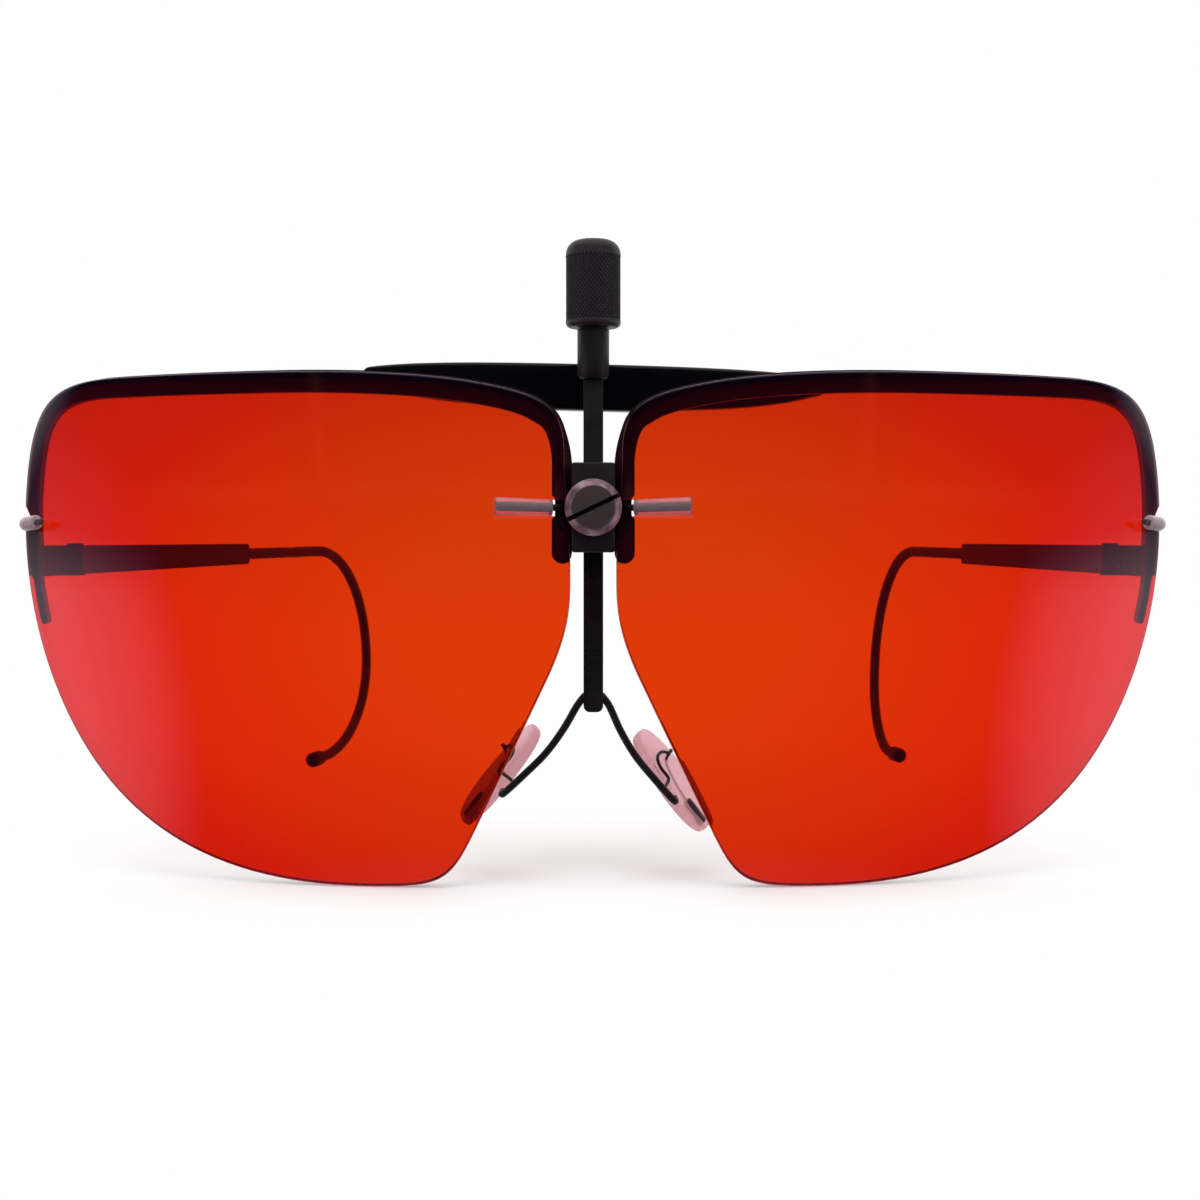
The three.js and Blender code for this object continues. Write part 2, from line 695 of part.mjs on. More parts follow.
function padOutline() {
  const widestZ = padBelowWidest - padHeight / 2;
  const outline = new THREE.Shape();
  outline.absellipse(0, widestZ, padWidth / 2, padHeight - padBelowWidest, 0, Math.PI, false, 0);
  outline.absellipse(0, widestZ, padWidth / 2, padBelowWidest, Math.PI, 2 * Math.PI, false, 0);
  return outline;
}

function insertOutline(clearance) {
  const halfWidth = insertWidth / 2 + clearance;
  const halfHeight = insertHeight / 2 + clearance;
  return rectangle(-halfWidth, -insertDrop - halfHeight, halfWidth, -insertDrop + halfHeight);
}

function nosePad() {
  const options = {
    depth: padThickness - 2 * padRound,
    bevelThickness: padRound,
    bevelSize: padRound,
    bevelOffset: -padRound,
    bevelSegments: 2,
    curveSegments: outlineDivisions,
  };
  const axes = new THREE.Matrix4().makeBasis(alongY, alongZ, alongX);
  const pad = new THREE.ExtrudeGeometry(padOutline(), options).applyMatrix4(axes);
  pad.translate(-padThickness / 2 + padRound, 0, 0);
  const pocketFloor = padThickness / 2 - insertThickness - runningGap;
  const pocket = sidePlate(insertOutline(runningGap), pocketFloor, padThickness / 2 + cutMargin);
  return shell(solid(pad).subtract(solid(pocket)));
}

function padPinHole() {
  const hole = disc(padPinDiameter + 2 * runningGap, padPivotX, padPivotZ);
  return solid(frontPlate(hole, -boxOutside - cutMargin, boxOutside + cutMargin));
}

// Metal plate let into the pad, with the tab that turns on the pad pin
function padInsert() {
  const face = padThickness / 2;
  const root = face - insertThickness / 2;
  const tab = new THREE.Shape();
  tab.moveTo(root, padPivotZ - tabRadius);
  tab.absarc(padPivotX, padPivotZ, tabRadius, -Math.PI / 2, Math.PI / 2, false);
  tab.lineTo(root, padPivotZ + tabRadius);
  return shell(solid(sidePlate(insertOutline(0), face - insertThickness, face))
    .add(solid(frontPlate(tab, -tabThickness / 2, tabThickness / 2)))
    .subtract(padPinHole()));
}

// Two cheeks and a back that hold the tab
function padBox() {
  const front = padPivotX - tabRadius;
  const back = padPivotX + tabRadius + seatGap;
  const plan = new THREE.Shape();
  plan.moveTo(front, -boxOutside);
  plan.lineTo(back + boxWall, -boxOutside);
  plan.lineTo(back + boxWall, boxOutside);
  plan.lineTo(front, boxOutside);
  plan.lineTo(front, boxInside);
  plan.lineTo(back, boxInside);
  plan.lineTo(back, -boxInside);
  plan.lineTo(front, -boxInside);
  const box = planPlate(plan, padPivotZ - boxHeight / 2, padPivotZ + boxHeight / 2);
  return shell(solid(box).subtract(padPinHole()));
}

function padPin() {
  const headBack = -boxOutside - runningGap;
  const profile = [
    [0, headBack - boxWall],
    [padPinHeadDiameter / 2, headBack - boxWall],
    [padPinHeadDiameter / 2, headBack],
    [padPinDiameter / 2, headBack],
    [padPinDiameter / 2, boxOutside],
    [0, boxOutside],
  ];
  return turned(profile, smallSegments).translate(padPivotX, 0, padPivotZ);
}

// Front outline of the brow bar around its middle
function browOutline() {
  const top = browMiddleHeight / 2;
  const endRadius = browEndHeight / 2;
  const endX = browHalfLength - endRadius;
  const endTop = top - browTopDrop;
  const endBottom = endTop - browEndHeight;
  const front = new THREE.Shape();
  front.moveTo(0, -top);
  front.bezierCurveTo(0.45 * endX, -top, 0.75 * endX, -0.85 * top, endX, endBottom);
  front.absarc(endX, endTop - endRadius, endRadius, -Math.PI / 2, Math.PI / 2, false);
  front.bezierCurveTo(0.8 * endX, top, 0.5 * endX, top, 0, top);
  front.bezierCurveTo(-0.5 * endX, top, -0.8 * endX, top, -endX, endTop);
  front.absarc(-endX, endTop - endRadius, endRadius, Math.PI / 2, 1.5 * Math.PI, false);
  front.bezierCurveTo(-0.75 * endX, -0.85 * top, -0.45 * endX, -top, 0, -top);
  return front;
}

// The brow bar's front face, curved back in plan to follow the brow
function browFaceY(x) {
  return browFrontY + browPlanRadius - Math.sqrt(browPlanRadius ** 2 - x ** 2);
}

const studEndY = browFaceY(studX) + studDepth;

function browBar() {
  const centreY = browFrontY + browPlanRadius;
  const spread = Math.asin((browHalfLength + cutMargin) / (browPlanRadius - browThickness));
  const from = -Math.PI / 2 - spread;
  const to = -Math.PI / 2 + spread;
  const plan = new THREE.Shape();
  plan.absarc(0, centreY, browPlanRadius, from, to, false);
  plan.absarc(0, centreY, browPlanRadius - browThickness, to, from, true);
  const blank = solid(planPlate(plan, -browMiddleHeight, browMiddleHeight));
  const bar = shell(blank.intersect(frontCutter(browOutline())));
  bar.rotateY(degrees(browTilt)).translate(0, 0, browMiddleZ);
  const bored = sides.reduce((body, { sign }) => {
    const hole = disc(studDiameter + 2 * runningGap, sign * studX, studZ);
    return body.subtract(solid(frontPlate(hole, browFrontY - cutMargin, studEndY + runningGap)));
  }, solid(bar));
  return shell(bored);
}

// Pin from the rim to the brow bar, with a collar that spaces them
function browStud() {
  const collar = studCollarDiameter / 2;
  const rimFront = sphereY(rimFrontRadius, studX, studZ);
  const collarFront = sphereY(rimBackRadius, studX, studZ + collar) + seatGap;
  const collarBack = browFaceY(studX - collar) - seatGap;
  const profile = [
    [0, rimFront],
    [studDiameter / 2, rimFront],
    [studDiameter / 2, collarFront],
    [collar, collarFront],
    [collar, collarBack],
    [studDiameter / 2, collarBack],
    [studDiameter / 2, studEndY],
    [0, studEndY],
  ];
  return turned(profile, smallSegments).translate(studX, 0, studZ);
}

// Hinge barrel with a web to the strip on one side of it
function knuckle(fromZ, toZ, towards) {
  const web = rectangle(0, runningGap * towards, barLaneX, (knuckleDiameter / 2) * towards);
  return solid(planPlate(disc(knuckleDiameter), fromZ, toZ)).add(solid(planPlate(web, fromZ, toZ)));
}

function hingeHole() {
  return solid(planPlate(disc(hingePinDiameter + 2 * runningGap), -templeHeight, templeHeight));
}

// Strip brazed behind the rim by a wider foot, carrying the upper and lower barrels
function endpiece() {
  const half = templeHeight / 2;
  const middle = middleKnuckleHeight / 2 + runningGap;
  const frontY = -lensRadius;
  const outside = stripOffset + templeThickness;
  const strip = rectangle(stripOffset, frontY, outside, -runningGap);
  const foot = rectangle(stripOffset, frontY, outside + endpieceFootSpread, -endpieceFootBack);
  const body = solid(planPlate(strip, -half, half))
    .add(solid(planPlate(foot, -half, half)))
    .add(knuckle(middle, half, -1))
    .add(knuckle(-half, -middle, -1))
    .subtract(hingeHole());
  const placed = solid(shell(body).translate(hingeX, hingeY, templeZ));
  return shell(placed.intersect(behindSphere(rimBackRadius - seatGap)));
}

function hingeScrew() {
  const half = templeHeight / 2;
  const headBottom = half + runningGap;
  const headTop = headBottom + hingeHeadHeight;
  const profile = [
    [0, -half],
    [hingePinDiameter / 2, -half],
    [hingePinDiameter / 2, headBottom],
    [hingeHeadDiameter / 2, headBottom],
    [hingeHeadDiameter / 2, headTop],
    [0, headTop],
  ];
  const slot = rectangle(-hingeHeadDiameter, -hingeSlotWidth / 2, hingeHeadDiameter, hingeSlotWidth / 2);
  const cut = solid(upright(turned(profile, smallSegments)))
    .subtract(solid(planPlate(slot, headTop - hingeSlotDepth, headTop + cutMargin)));
  return shell(cut).translate(hingeX, hingeY, templeZ);
}

// Tapered flat bar with the middle barrel, bored at its end for the cable's core
function templeBar() {
  const half = templeHeight / 2;
  const end = templeEndHeight / 2;
  const roundY = templeLength - end / 2;
  const profile = new THREE.Shape();
  profile.moveTo(runningGap, -half);
  profile.lineTo(roundY, -end);
  profile.quadraticCurveTo(templeLength, -end, templeLength, -end / 2);
  profile.lineTo(templeLength, end / 2);
  profile.quadraticCurveTo(templeLength, end, roundY, end);
  profile.lineTo(runningGap, half);
  const middle = middleKnuckleHeight / 2;
  const bore = straight(
    new THREE.Vector3(barLaneX, templeLength - cableCoreLength - runningGap, 0),
    new THREE.Vector3(barLaneX, templeLength + cutMargin, 0),
  );
  return shell(solid(sidePlate(profile, stripOffset, stripOffset + templeThickness))
    .add(knuckle(-middle, middle, 1))
    .subtract(hingeHole())
    .subtract(solid(wire(bore, cableCoreDiameter + 2 * runningGap, 1))));
}

// Quarter of an ellipse in the temple's plane, from one point to another
function quarterEllipse(from, to, corner) {
  const handle = 0.5523; // share of the way to the corner that makes a cubic follow an ellipse
  const [leaving, arriving] = [from, to].map((end) => end.clone().lerp(corner, handle));
  return new THREE.CubicBezierCurve3(from, leaving, arriving, to);
}

// Straight behind the temple bar, down behind the ear, and forwards to the tip
function hookPath({ hookStart, hookReach, hookReturn, hookBackZ }) {
  const at = (y, z) => new THREE.Vector3(barLaneX, y, z);
  const backY = hookStart + hookReach;
  const backZ = hookBackZ - templeZ;
  const endY = backY - hookReturn;
  const path = new THREE.CurvePath();
  path.add(straight(at(templeLength + seatGap, 0), at(hookStart, 0)));
  path.add(quarterEllipse(at(hookStart, 0), at(backY, backZ), at(backY, 0)));
  path.add(quarterEllipse(at(backY, backZ), at(endY, tipMiddleZ), at(backY, tipMiddleZ)));
  path.add(straight(at(endY, tipMiddleZ), at(endY - cableLevelEnd, tipMiddleZ)));
  return path;
}

// The coated cable, with its bare core standing out at both ends
function earCable(side) {
  const path = hookPath(side);
  const along = (point, by) => point.clone().addScaledVector(alongY, by);
  const start = path.getPoint(0);
  const end = path.getPoint(1);
  const front = straight(along(start, -seatGap - cableCoreLength), along(start, cableDiameter));
  const back = straight(along(end, cableLevelEnd / 2), along(end, -tipSocketDepth));
  return shell(solid(wire(path, cableDiameter, hookSteps))
    .add(solid(wire(front, cableCoreDiameter, 1)))
    .add(solid(wire(back, cableCoreDiameter, 1))));
}

// Round-nosed cap over the cable's end
function cableTip(side) {
  const radius = tipDiameter / 2;
  const profile = [
    [0, 0],
    ...quarterRound(0, radius, radius, -Math.PI / 2, 4).slice(1),
    [radius, tipLength - radius / 2],
    [cableDiameter / 2, tipLength],
    [0, tipLength],
  ];
  const socket = straight(
    new THREE.Vector3(0, tipLength - tipSocketDepth - runningGap, 0),
    new THREE.Vector3(0, tipLength + cutMargin, 0),
  );
  const cap = solid(turned(profile, smallSegments))
    .subtract(solid(wire(socket, cableCoreDiameter + 2 * runningGap, 1)));
  const end = hookPath(side).getPoint(1);
  return shell(cap).translate(end.x, end.y - seatGap - tipLength, end.z);
}

// Assembly
const glasses = new THREE.Group();
const lensShape = lens();
const rimShape = rim();
add(glasses, 'bridge_block', bridgeBlock(), blackMetal);
add(glasses, 'clamp_screw', clampScrew(), wornSteel);
add(glasses, 'nose_bar', noseBar(), blackMetal);
add(glasses, 'knob_ferrule', knobFerrule(), blackMetal);
add(glasses, 'knurled_knob', knob(), blackMetal);
add(glasses, 'brow_bar', browBar(), blackPlastic);

for (const side of sides) {
  const { name, sign } = side;
  add(glasses, `lens_${name}`, handed(lensShape, sign), tintedLens);
  add(glasses, `rim_${name}`, handed(rimShape, sign), blackMetal);
  add(glasses, `inner_prong_${name}`, handed(prong(innerProngLine, innerProngRun), sign), blackMetal);
  add(glasses, `outer_prong_${name}`, handed(prong(outerProngLine, outerProngRun), sign), blackMetal);
  add(glasses, `inner_sleeve_${name}`, handed(innerSleeve(innerProngLine), sign), clearSleeve);
  add(glasses, `outer_sleeve_${name}`, handed(outerSleeve(outerProngLine), sign), clearSleeve);
  add(glasses, `brow_stud_${name}`, handed(browStud(), sign), blackMetal);
  add(glasses, `endpiece_${name}`, handed(endpiece(), sign), blackMetal);
  add(glasses, `hinge_screw_${name}`, handed(hingeScrew(), sign), blackMetal);

  const temple = new THREE.Group();
  temple.position.set(sign * hingeX, hingeY, templeZ);
  temple.rotation.z = sign * degrees(side.templeAngle);
  glasses.add(temple);
  add(temple, `temple_bar_${name}`, handed(templeBar(), sign), blackMetal);
  add(temple, `ear_cable_${name}`, handed(earCable(side), sign), cableCoat);
  add(temple, `cable_tip_${name}`, handed(cableTip(side), sign), blackPlastic);

  const arm = new THREE.Group();
  arm.position.set(sign * armX, barY, armZ);
  arm.rotation.y = -sign * degrees(side.armSplay);
  glasses.add(arm);
  add(arm, `pad_arm_${name}`, handed(padArm(side), sign), blackMetal);

  const pad = new THREE.Group();
  const turnout = padTurnout(side);
  pad.position.set(sign * side.padOut, padBack, -side.padDown);
  pad.rotation.set(0, sign * turnout.y, sign * turnout.z, turnout.order);
  arm.add(pad);
  add(pad, `nose_pad_${name}`, handed(nosePad(), sign), clearSleeve);
  add(pad, `pad_insert_${name}`, handed(padInsert(), sign), wornSteel);
  add(pad, `pad_box_${name}`, handed(padBox(), sign), blackMetal);
  add(pad, `pad_pin_${name}`, handed(padPin(), sign), wornSteel);
}

// The origin is the middle of the footprint
const extent = new THREE.Box3().setFromObject(glasses, true);
const middle = extent.getCenter(new THREE.Vector3());
glasses.position.set(-middle.x, -middle.y, -extent.min.z);

export default glasses;
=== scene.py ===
# %% [markdown]
# # Shooting glasses
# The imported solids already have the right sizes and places. This lesson gives them their looks: each visible
# piece is modelled again with smooth curves and rounded edges, and gets a finish of its own. The frame is
# loaded first and is never moved, so a new piece only has to be made in the same place as its solid.

# %% Load the frame
import json
import math

import bmesh
import bpy
from mathutils import Matrix, Vector
from mathutils.geometry import interpolate_bezier

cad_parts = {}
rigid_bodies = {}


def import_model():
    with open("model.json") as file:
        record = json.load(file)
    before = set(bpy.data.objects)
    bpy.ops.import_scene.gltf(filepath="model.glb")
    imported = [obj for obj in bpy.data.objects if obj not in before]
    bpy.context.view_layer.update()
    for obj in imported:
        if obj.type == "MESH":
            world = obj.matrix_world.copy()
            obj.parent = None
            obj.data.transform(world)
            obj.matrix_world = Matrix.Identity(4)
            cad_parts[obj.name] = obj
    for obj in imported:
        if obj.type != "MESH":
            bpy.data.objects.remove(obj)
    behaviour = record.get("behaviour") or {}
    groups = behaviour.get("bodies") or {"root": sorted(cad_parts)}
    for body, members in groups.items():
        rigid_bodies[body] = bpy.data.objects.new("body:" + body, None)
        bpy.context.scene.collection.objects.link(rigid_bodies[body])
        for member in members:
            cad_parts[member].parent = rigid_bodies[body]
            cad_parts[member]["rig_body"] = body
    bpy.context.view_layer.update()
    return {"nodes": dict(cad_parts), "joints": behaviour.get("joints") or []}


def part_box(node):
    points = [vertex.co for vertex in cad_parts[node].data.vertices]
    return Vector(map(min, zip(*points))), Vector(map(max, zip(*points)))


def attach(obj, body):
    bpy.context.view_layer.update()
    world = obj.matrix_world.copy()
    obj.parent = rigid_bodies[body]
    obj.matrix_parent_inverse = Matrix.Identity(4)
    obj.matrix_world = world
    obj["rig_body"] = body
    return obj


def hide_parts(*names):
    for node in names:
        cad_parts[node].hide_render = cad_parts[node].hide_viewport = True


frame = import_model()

mm = 0.001

# %% [markdown]
# ## Camera
# The glasses were photographed from straight ahead and close by, which is why the temples run together
# behind the lenses. A 50 mm lens 200 mm in front of the lenses gives the same perspective. The picture's
# horizon lies a little above its middle, so the camera is tilted down rather than shifted.

# %% Camera
lens_apex_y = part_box("lens_right")[0].y
camera_distance = 200 * mm
camera_height = 45.2 * mm
camera_tilt = math.radians(2.54)
camera_turn = math.radians(-0.23)


def add_object(name, data):
    """Puts an object with some data into the scene."""
    thing = bpy.data.objects.new(name, data)
    bpy.context.scene.collection.objects.link(thing)
    return thing


camera_data = bpy.data.cameras.new("front_camera")
camera_data.lens = 50
camera_data.sensor_width = 36
camera_data.clip_start = 0.01
camera = add_object("front_camera", camera_data)
camera.location = (0, lens_apex_y - camera_distance, camera_height)
camera.rotation_euler = (math.pi / 2 - camera_tilt, 0, camera_turn)
bpy.context.scene.camera = camera
bpy.context.scene.view_settings.view_transform = "Standard"
print("camera at", *camera.location)

# %% [markdown]
# ## Node helpers
# Every finish is built from a few nodes on one Principled shader. A value that is the same all over goes
# straight onto the shader's socket, and only what varies gets nodes: noise in the piece's own coordinates,
# whose grain is given as a real size in metres.

# %% Node helpers
def fill(node, inputs):
    """Fills a node's inputs with values or links."""
    for socket, value in inputs.items():
        if isinstance(value, bpy.types.NodeSocket):
            node.id_data.links.new(value, node.inputs[socket])
        else:
            node.inputs[socket].default_value = value


def add_node(tree, kind, inputs=None, **settings):
    """Adds a node, sets its options and fills its inputs."""
    node = tree.nodes.new(kind)
    for option, value in settings.items():
        setattr(node, option, value)
    fill(node, inputs or {})
    return node


def new_finish(name, values):
    """A material with one Principled shader, and plain values on its sockets."""
    finish = bpy.data.materials.new(name)
    finish.use_nodes = True
    shader = finish.node_tree.nodes["Principled BSDF"]
    fill(shader, values)
    return finish, finish.node_tree, shader


def place_on_piece(tree, centre=(0, 0, 0), scale=(1, 1, 1)):
    """The piece's own coordinates, measured from a centre."""
    place = add_node(tree, "ShaderNodeTexCoord").outputs["Object"]
    shift = [-c * s for c, s in zip(centre, scale)]
    inputs = {"Vector": place, "Location": shift, "Scale": scale}
    return add_node(tree, "ShaderNodeMapping", inputs).outputs[0]


def distance(tree, *around):
    """How far a place on the piece lies from a centre, on scaled axes."""
    inputs = {0: place_on_piece(tree, *around)}
    return add_node(tree, "ShaderNodeVectorMath", inputs, operation="LENGTH").outputs["Value"]


def grain(tree, size, detail=3):
    """Noise whose features have a real size."""
    inputs = {"Vector": place_on_piece(tree), "Scale": 1 / size, "Detail": detail}
    return add_node(tree, "ShaderNodeTexNoise", inputs).outputs["Fac"]


def combine(tree, operation, first, second=0.0):
    """One number from one or two others."""
    return add_node(tree, "ShaderNodeMath", {0: first, 1: second}, operation=operation).outputs[0]


def spread(tree, factor, low, high, start=0.35, end=0.65):
    """A number that runs from low to high as a factor runs from start to end."""
    inputs = {"Value": factor, "From Min": start, "From Max": end, "To Min": low, "To Max": high}
    return add_node(tree, "ShaderNodeMapRange", inputs).outputs["Result"]


def shade(tree, factor, *stops):
    """A colour ramp from (position, colour) stops."""
    ramp = add_node(tree, "ShaderNodeValToRGB", {"Fac": factor})
    while len(ramp.color_ramp.elements) < len(stops):
        ramp.color_ramp.elements.new(1)
    for element, (position, colour) in zip(ramp.color_ramp.elements, stops):
        element.position = position
        element.color = (*colour, 1)
    return ramp.outputs["Color"]


def blend(tree, factor, first, second):
    """A colour that turns from one into another as a factor rises."""
    inputs = {0: factor, 6: first, 7: second}
    return add_node(tree, "ShaderNodeMix", inputs, data_type="RGBA").outputs[2]


def roughen(tree, shader, height, depth):
    """Bump of a real depth on a shader."""
    bump = add_node(tree, "ShaderNodeBump", {"Height": height, "Distance": depth})
    fill(shader, {"Normal": bump.outputs["Normal"]})


def swap_surface(tree, factor, shader, other):
    """Shows another shader instead of the first one where a factor is 1."""
    inputs = {0: factor, 1: shader.outputs[0], 2: other.outputs[0]}
    mixed = add_node(tree, "ShaderNodeMixShader", inputs)
    fill(tree.nodes["Material Output"], {"Surface": mixed.outputs[0]})


# %% [markdown]
# ## Studio
# The picture has a white ground with hardly any shadow, and the lenses mirror bright walls at their outer
# sides and a dim room in the middle. So the world is a light tent: walls, ceiling and backdrop are white, and
# only the photographer's side is dim. The walls lean out at the top, as their mirror images in the lenses do.

# %% Light tent
dim_front = 0.055
dull_ground = 0.4
upper_wall = 0.3
wall_lean = 0.2

# Each pair: the two shares of a direction between which a part of the tent fades in or out
wall_turn = (0.83, 1)
wall_fade = (0, 0.16)
ceiling_turn = (0.7, 0.9)
backdrop_turn = (0.1, 0.3)
ground_turn = (-0.95, -0.75)

world = bpy.data.worlds.new("studio")
world.use_nodes = True
bpy.context.scene.world = world
tree = world.node_tree
direction = add_node(tree, "ShaderNodeTexCoord").outputs["Generated"]
towards = add_node(tree, "ShaderNodeSeparateXYZ", {"Vector": direction}).outputs
aside = combine(tree, "ABSOLUTE", towards["X"])
leaning = combine(tree, "SUBTRACT", aside, combine(tree, "MULTIPLY", towards["Z"], wall_lean))
sideways = spread(tree, leaning, 0, 1, *wall_turn)
walls = combine(tree, "MULTIPLY", sideways, spread(tree, towards["Z"], 1, upper_wall, *wall_fade))
ceiling = spread(tree, towards["Z"], 0, 1, *ceiling_turn)
backdrop = spread(tree, towards["Y"], 0, 1, *backdrop_turn)
ground = spread(tree, towards["Z"], dull_ground, 0, *ground_turn)
lit = walls
for tent_side in (ceiling, backdrop, ground):
    lit = combine(tree, "MAXIMUM", lit, tent_side)
tent = spread(tree, lit, dim_front, 1, 0, 1)
print("tent:", len(tree.nodes), "nodes")

# %% [markdown]
# Wherever the camera looks past the object or through its lenses, the world is plain white. Light that was
# mirrored inside a lens sees only part of that white, and light that was scattered sees the tent. The dim
# room in front is slightly violet, which gives the dark rims behind the lenses their plum tone. It is not
# empty either: a warm strip of light runs along it and two more rise from that, and the upper halves of the
# lenses mirror them faintly.

# %% World
mirrored_share = 0.3
room_tone = (0.6, 0.25, 1)
room_tone_end = 0.5
warm_light = (1, 0.5, 0.15, 1)
strip_strength = 0.17
strip_height = 0.37
strip_sag = 0.12
strip_half = 0.05
post_place = 0.44
post_half = 0.03
front_turn = (-0.5, -0.3)
path = add_node(tree, "ShaderNodeLightPath").outputs
unscattered = combine(tree, "LESS_THAN", path["Diffuse Depth"], 0.5)
unmirrored = spread(tree, path["Glossy Depth"], 1, mirrored_share, 0, 1)
straight = combine(tree, "MULTIPLY", unscattered, unmirrored)
through_lens = combine(tree, "MULTIPLY", path["Is Transmission Ray"], straight)
looked_through = combine(tree, "MAXIMUM", path["Is Camera Ray"], through_lens)
strength = add_node(tree, "ShaderNodeMix", {"Factor": looked_through, "A": tent, "B": 1.0}).outputs[0]
tone = shade(tree, strength, (0, room_tone), (room_tone_end, (1, 1, 1)))
background = tree.nodes["Background"]
fill(background, {"Color": tone, "Strength": strength})

sag = combine(tree, "MULTIPLY", combine(tree, "MULTIPLY", aside, aside), strip_sag)
above_strip = combine(tree, "SUBTRACT", combine(tree, "ADD", towards["Z"], sag), strip_height)
strip = spread(tree, combine(tree, "ABSOLUTE", above_strip), 1, 0, 0, strip_half)
beside_post = combine(tree, "ABSOLUTE", combine(tree, "SUBTRACT", aside, post_place))
post_width = spread(tree, beside_post, 1, 0, 0, post_half)
post = combine(tree, "MULTIPLY", post_width, spread(tree, above_strip, 0, 1, 0, strip_half))
in_front = spread(tree, towards["Y"], strip_strength, 0, *front_turn)
unseen = combine(tree, "SUBTRACT", 1, looked_through)
shown = combine(tree, "MULTIPLY", in_front, unseen)
glow = combine(tree, "MULTIPLY", combine(tree, "MAXIMUM", strip, post), shown)
room = add_node(tree, "ShaderNodeBackground", {"Color": warm_light, "Strength": glow})
whole = add_node(tree, "ShaderNodeAddShader", {0: background.outputs[0], 1: room.outputs[0]})
fill(tree.nodes["World Output"], {"Surface": whole.outputs[0]})
print("world:", len(tree.nodes), "nodes")

# %% [markdown]
# The floor is a pale disc that fades into the white, and keeps the soft shadow under the lenses. Three large
# soft lamps light the object from above and from both sides; they are kept out of the mirror images.

# %% Floor
floor_radius = 115 * mm
floor_fade_start = 50 * mm
floor_fade_end = 0.9 * floor_radius
floor_drop = 0.05 * mm


def mesh_from(shape, name):
    """Turns a bmesh into a mesh and frees it."""
    mesh = bpy.data.meshes.new(name)
    shape.to_mesh(mesh)
    shape.free()
    return mesh


shape = bmesh.new()
bmesh.ops.create_circle(shape, cap_ends=True, segments=96, radius=floor_radius)
bmesh.ops.translate(shape, vec=(0, 0, -floor_drop), verts=shape.verts)
floor = add_object("floor", mesh_from(shape, "floor"))

floor_finish, tree, shader = new_finish(
    "pale_floor",
    {"Base Color": (0.93, 0.93, 0.93, 1), "Roughness": 0.9, "Specular IOR Level": 0.0},
)
fade = spread(tree, distance(tree), 0, 1, floor_fade_start, floor_fade_end)
mirrored = add_node(tree, "ShaderNodeLightPath").outputs["Is Glossy Ray"]
hidden = combine(tree, "MAXIMUM", fade, mirrored)
swap_surface(tree, hidden, shader, add_node(tree, "ShaderNodeBsdfTransparent"))
floor.data.materials.append(floor_finish)
print("floor radius", floor_radius)

# %% Soft lamps
lamp_target = Vector((0, -0.03, 0.04))


def softbox(name, place, size, power):
    """A square lamp that faces the middle of the glasses and isn't mirrored in the lenses."""
    lamp_data = bpy.data.lights.new(name, "AREA")
    lamp_data.size = size
    lamp_data.energy = power
    lamp = add_object(name, lamp_data)
    lamp.location = place
    lamp.rotation_euler = (lamp_target - Vector(place)).to_track_quat("-Z", "Y").to_euler()
    lamp.visible_glossy = False
    lamp.visible_transmission = False
    print(name, "at", place, "with", power, "W")


softbox("overhead_light", (0, -0.35, 0.95), size=0.9, power=5)
softbox("left_light", (-0.75, -0.75, 0.45), size=0.7, power=4.5)
softbox("right_light", (0.75, -0.75, 0.45), size=0.7, power=4.5)

# %% [markdown]
# ## From a bmesh to a piece
# All pieces end the same way. The mesh gets outward normals, smooth shading with creases at its sharp edges,
# and a material; the object rides on the body that its solid belongs to and takes that solid's place. Most
# pieces come in pairs, so a second helper makes the left one as the mirror image of the right one.

# %% Piece helpers
sides = {"left": -1, "right": 1}


def make_piece(node, shape, *finishes, crease=35, even_flats=False):
    """Turns a bmesh into the object that stands for a node."""
    bmesh.ops.recalc_face_normals(shape, faces=shape.faces)
    mesh = mesh_from(shape, f"fine_{node}")
    for finish in finishes:
        mesh.materials.append(finish)
    mesh.shade_smooth()
    mesh.set_sharp_from_angle(angle=math.radians(crease))
    piece = add_object(f"fine_{node}", mesh)
    if even_flats:
        piece.modifiers.new("even_flats", "WEIGHTED_NORMAL").keep_sharp = True
    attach(piece, frame["nodes"][node]["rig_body"])
    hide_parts(node)
    print(f"fine_{node}: {len(mesh.polygons)} faces")


def make_pair(stem, shape, *finishes):
    """Makes the right piece as it is and the left one mirrored."""
    for side, sign in sides.items():
        handed = shape.copy()
        bmesh.ops.scale(handed, vec=(sign, 1, 1), verts=handed.verts)
        make_piece(f"{stem}_{side}", handed, *finishes)
    shape.free()


def verts_of(geometry):
    return [part for part in geometry if isinstance(part, bmesh.types.BMVert)]


def faces_of(geometry):
    return [part for part in geometry if isinstance(part, bmesh.types.BMFace)]


def round_edges(shape, edges, width, segments=2):
    """Bevels edges with a round profile."""
    bmesh.ops.bevel(
        shape, geom=edges, offset=width, offset_type="OFFSET", segments=segments,
        profile=0.5, affect="EDGES", clamp_overlap=True, material=-1,
    )


def sharp_edges(shape, angle=40):
    """Edges between faces that meet at more than an angle."""
    limit = math.radians(angle)
    return [edge for edge in shape.edges if edge.is_manifold and edge.calc_face_angle() > limit]


# %% [markdown]
# ## Lenses
# Each lens is a piece of a hollow sphere, 2 mm thick, edged to a rounded shape with a straight cut for the
# nose. Cut from a sphere, it would have long thin triangles that ripple in the reflections. Instead the
# outline is drawn flat as a closed Bezier curve, shrunk ring by ring towards its middle, and every vertex is
# laid on the sphere. A second copy, a little smaller because the edge is ground square to the sphere, is laid
# on the inner sphere, and the two edges are bridged and rounded.

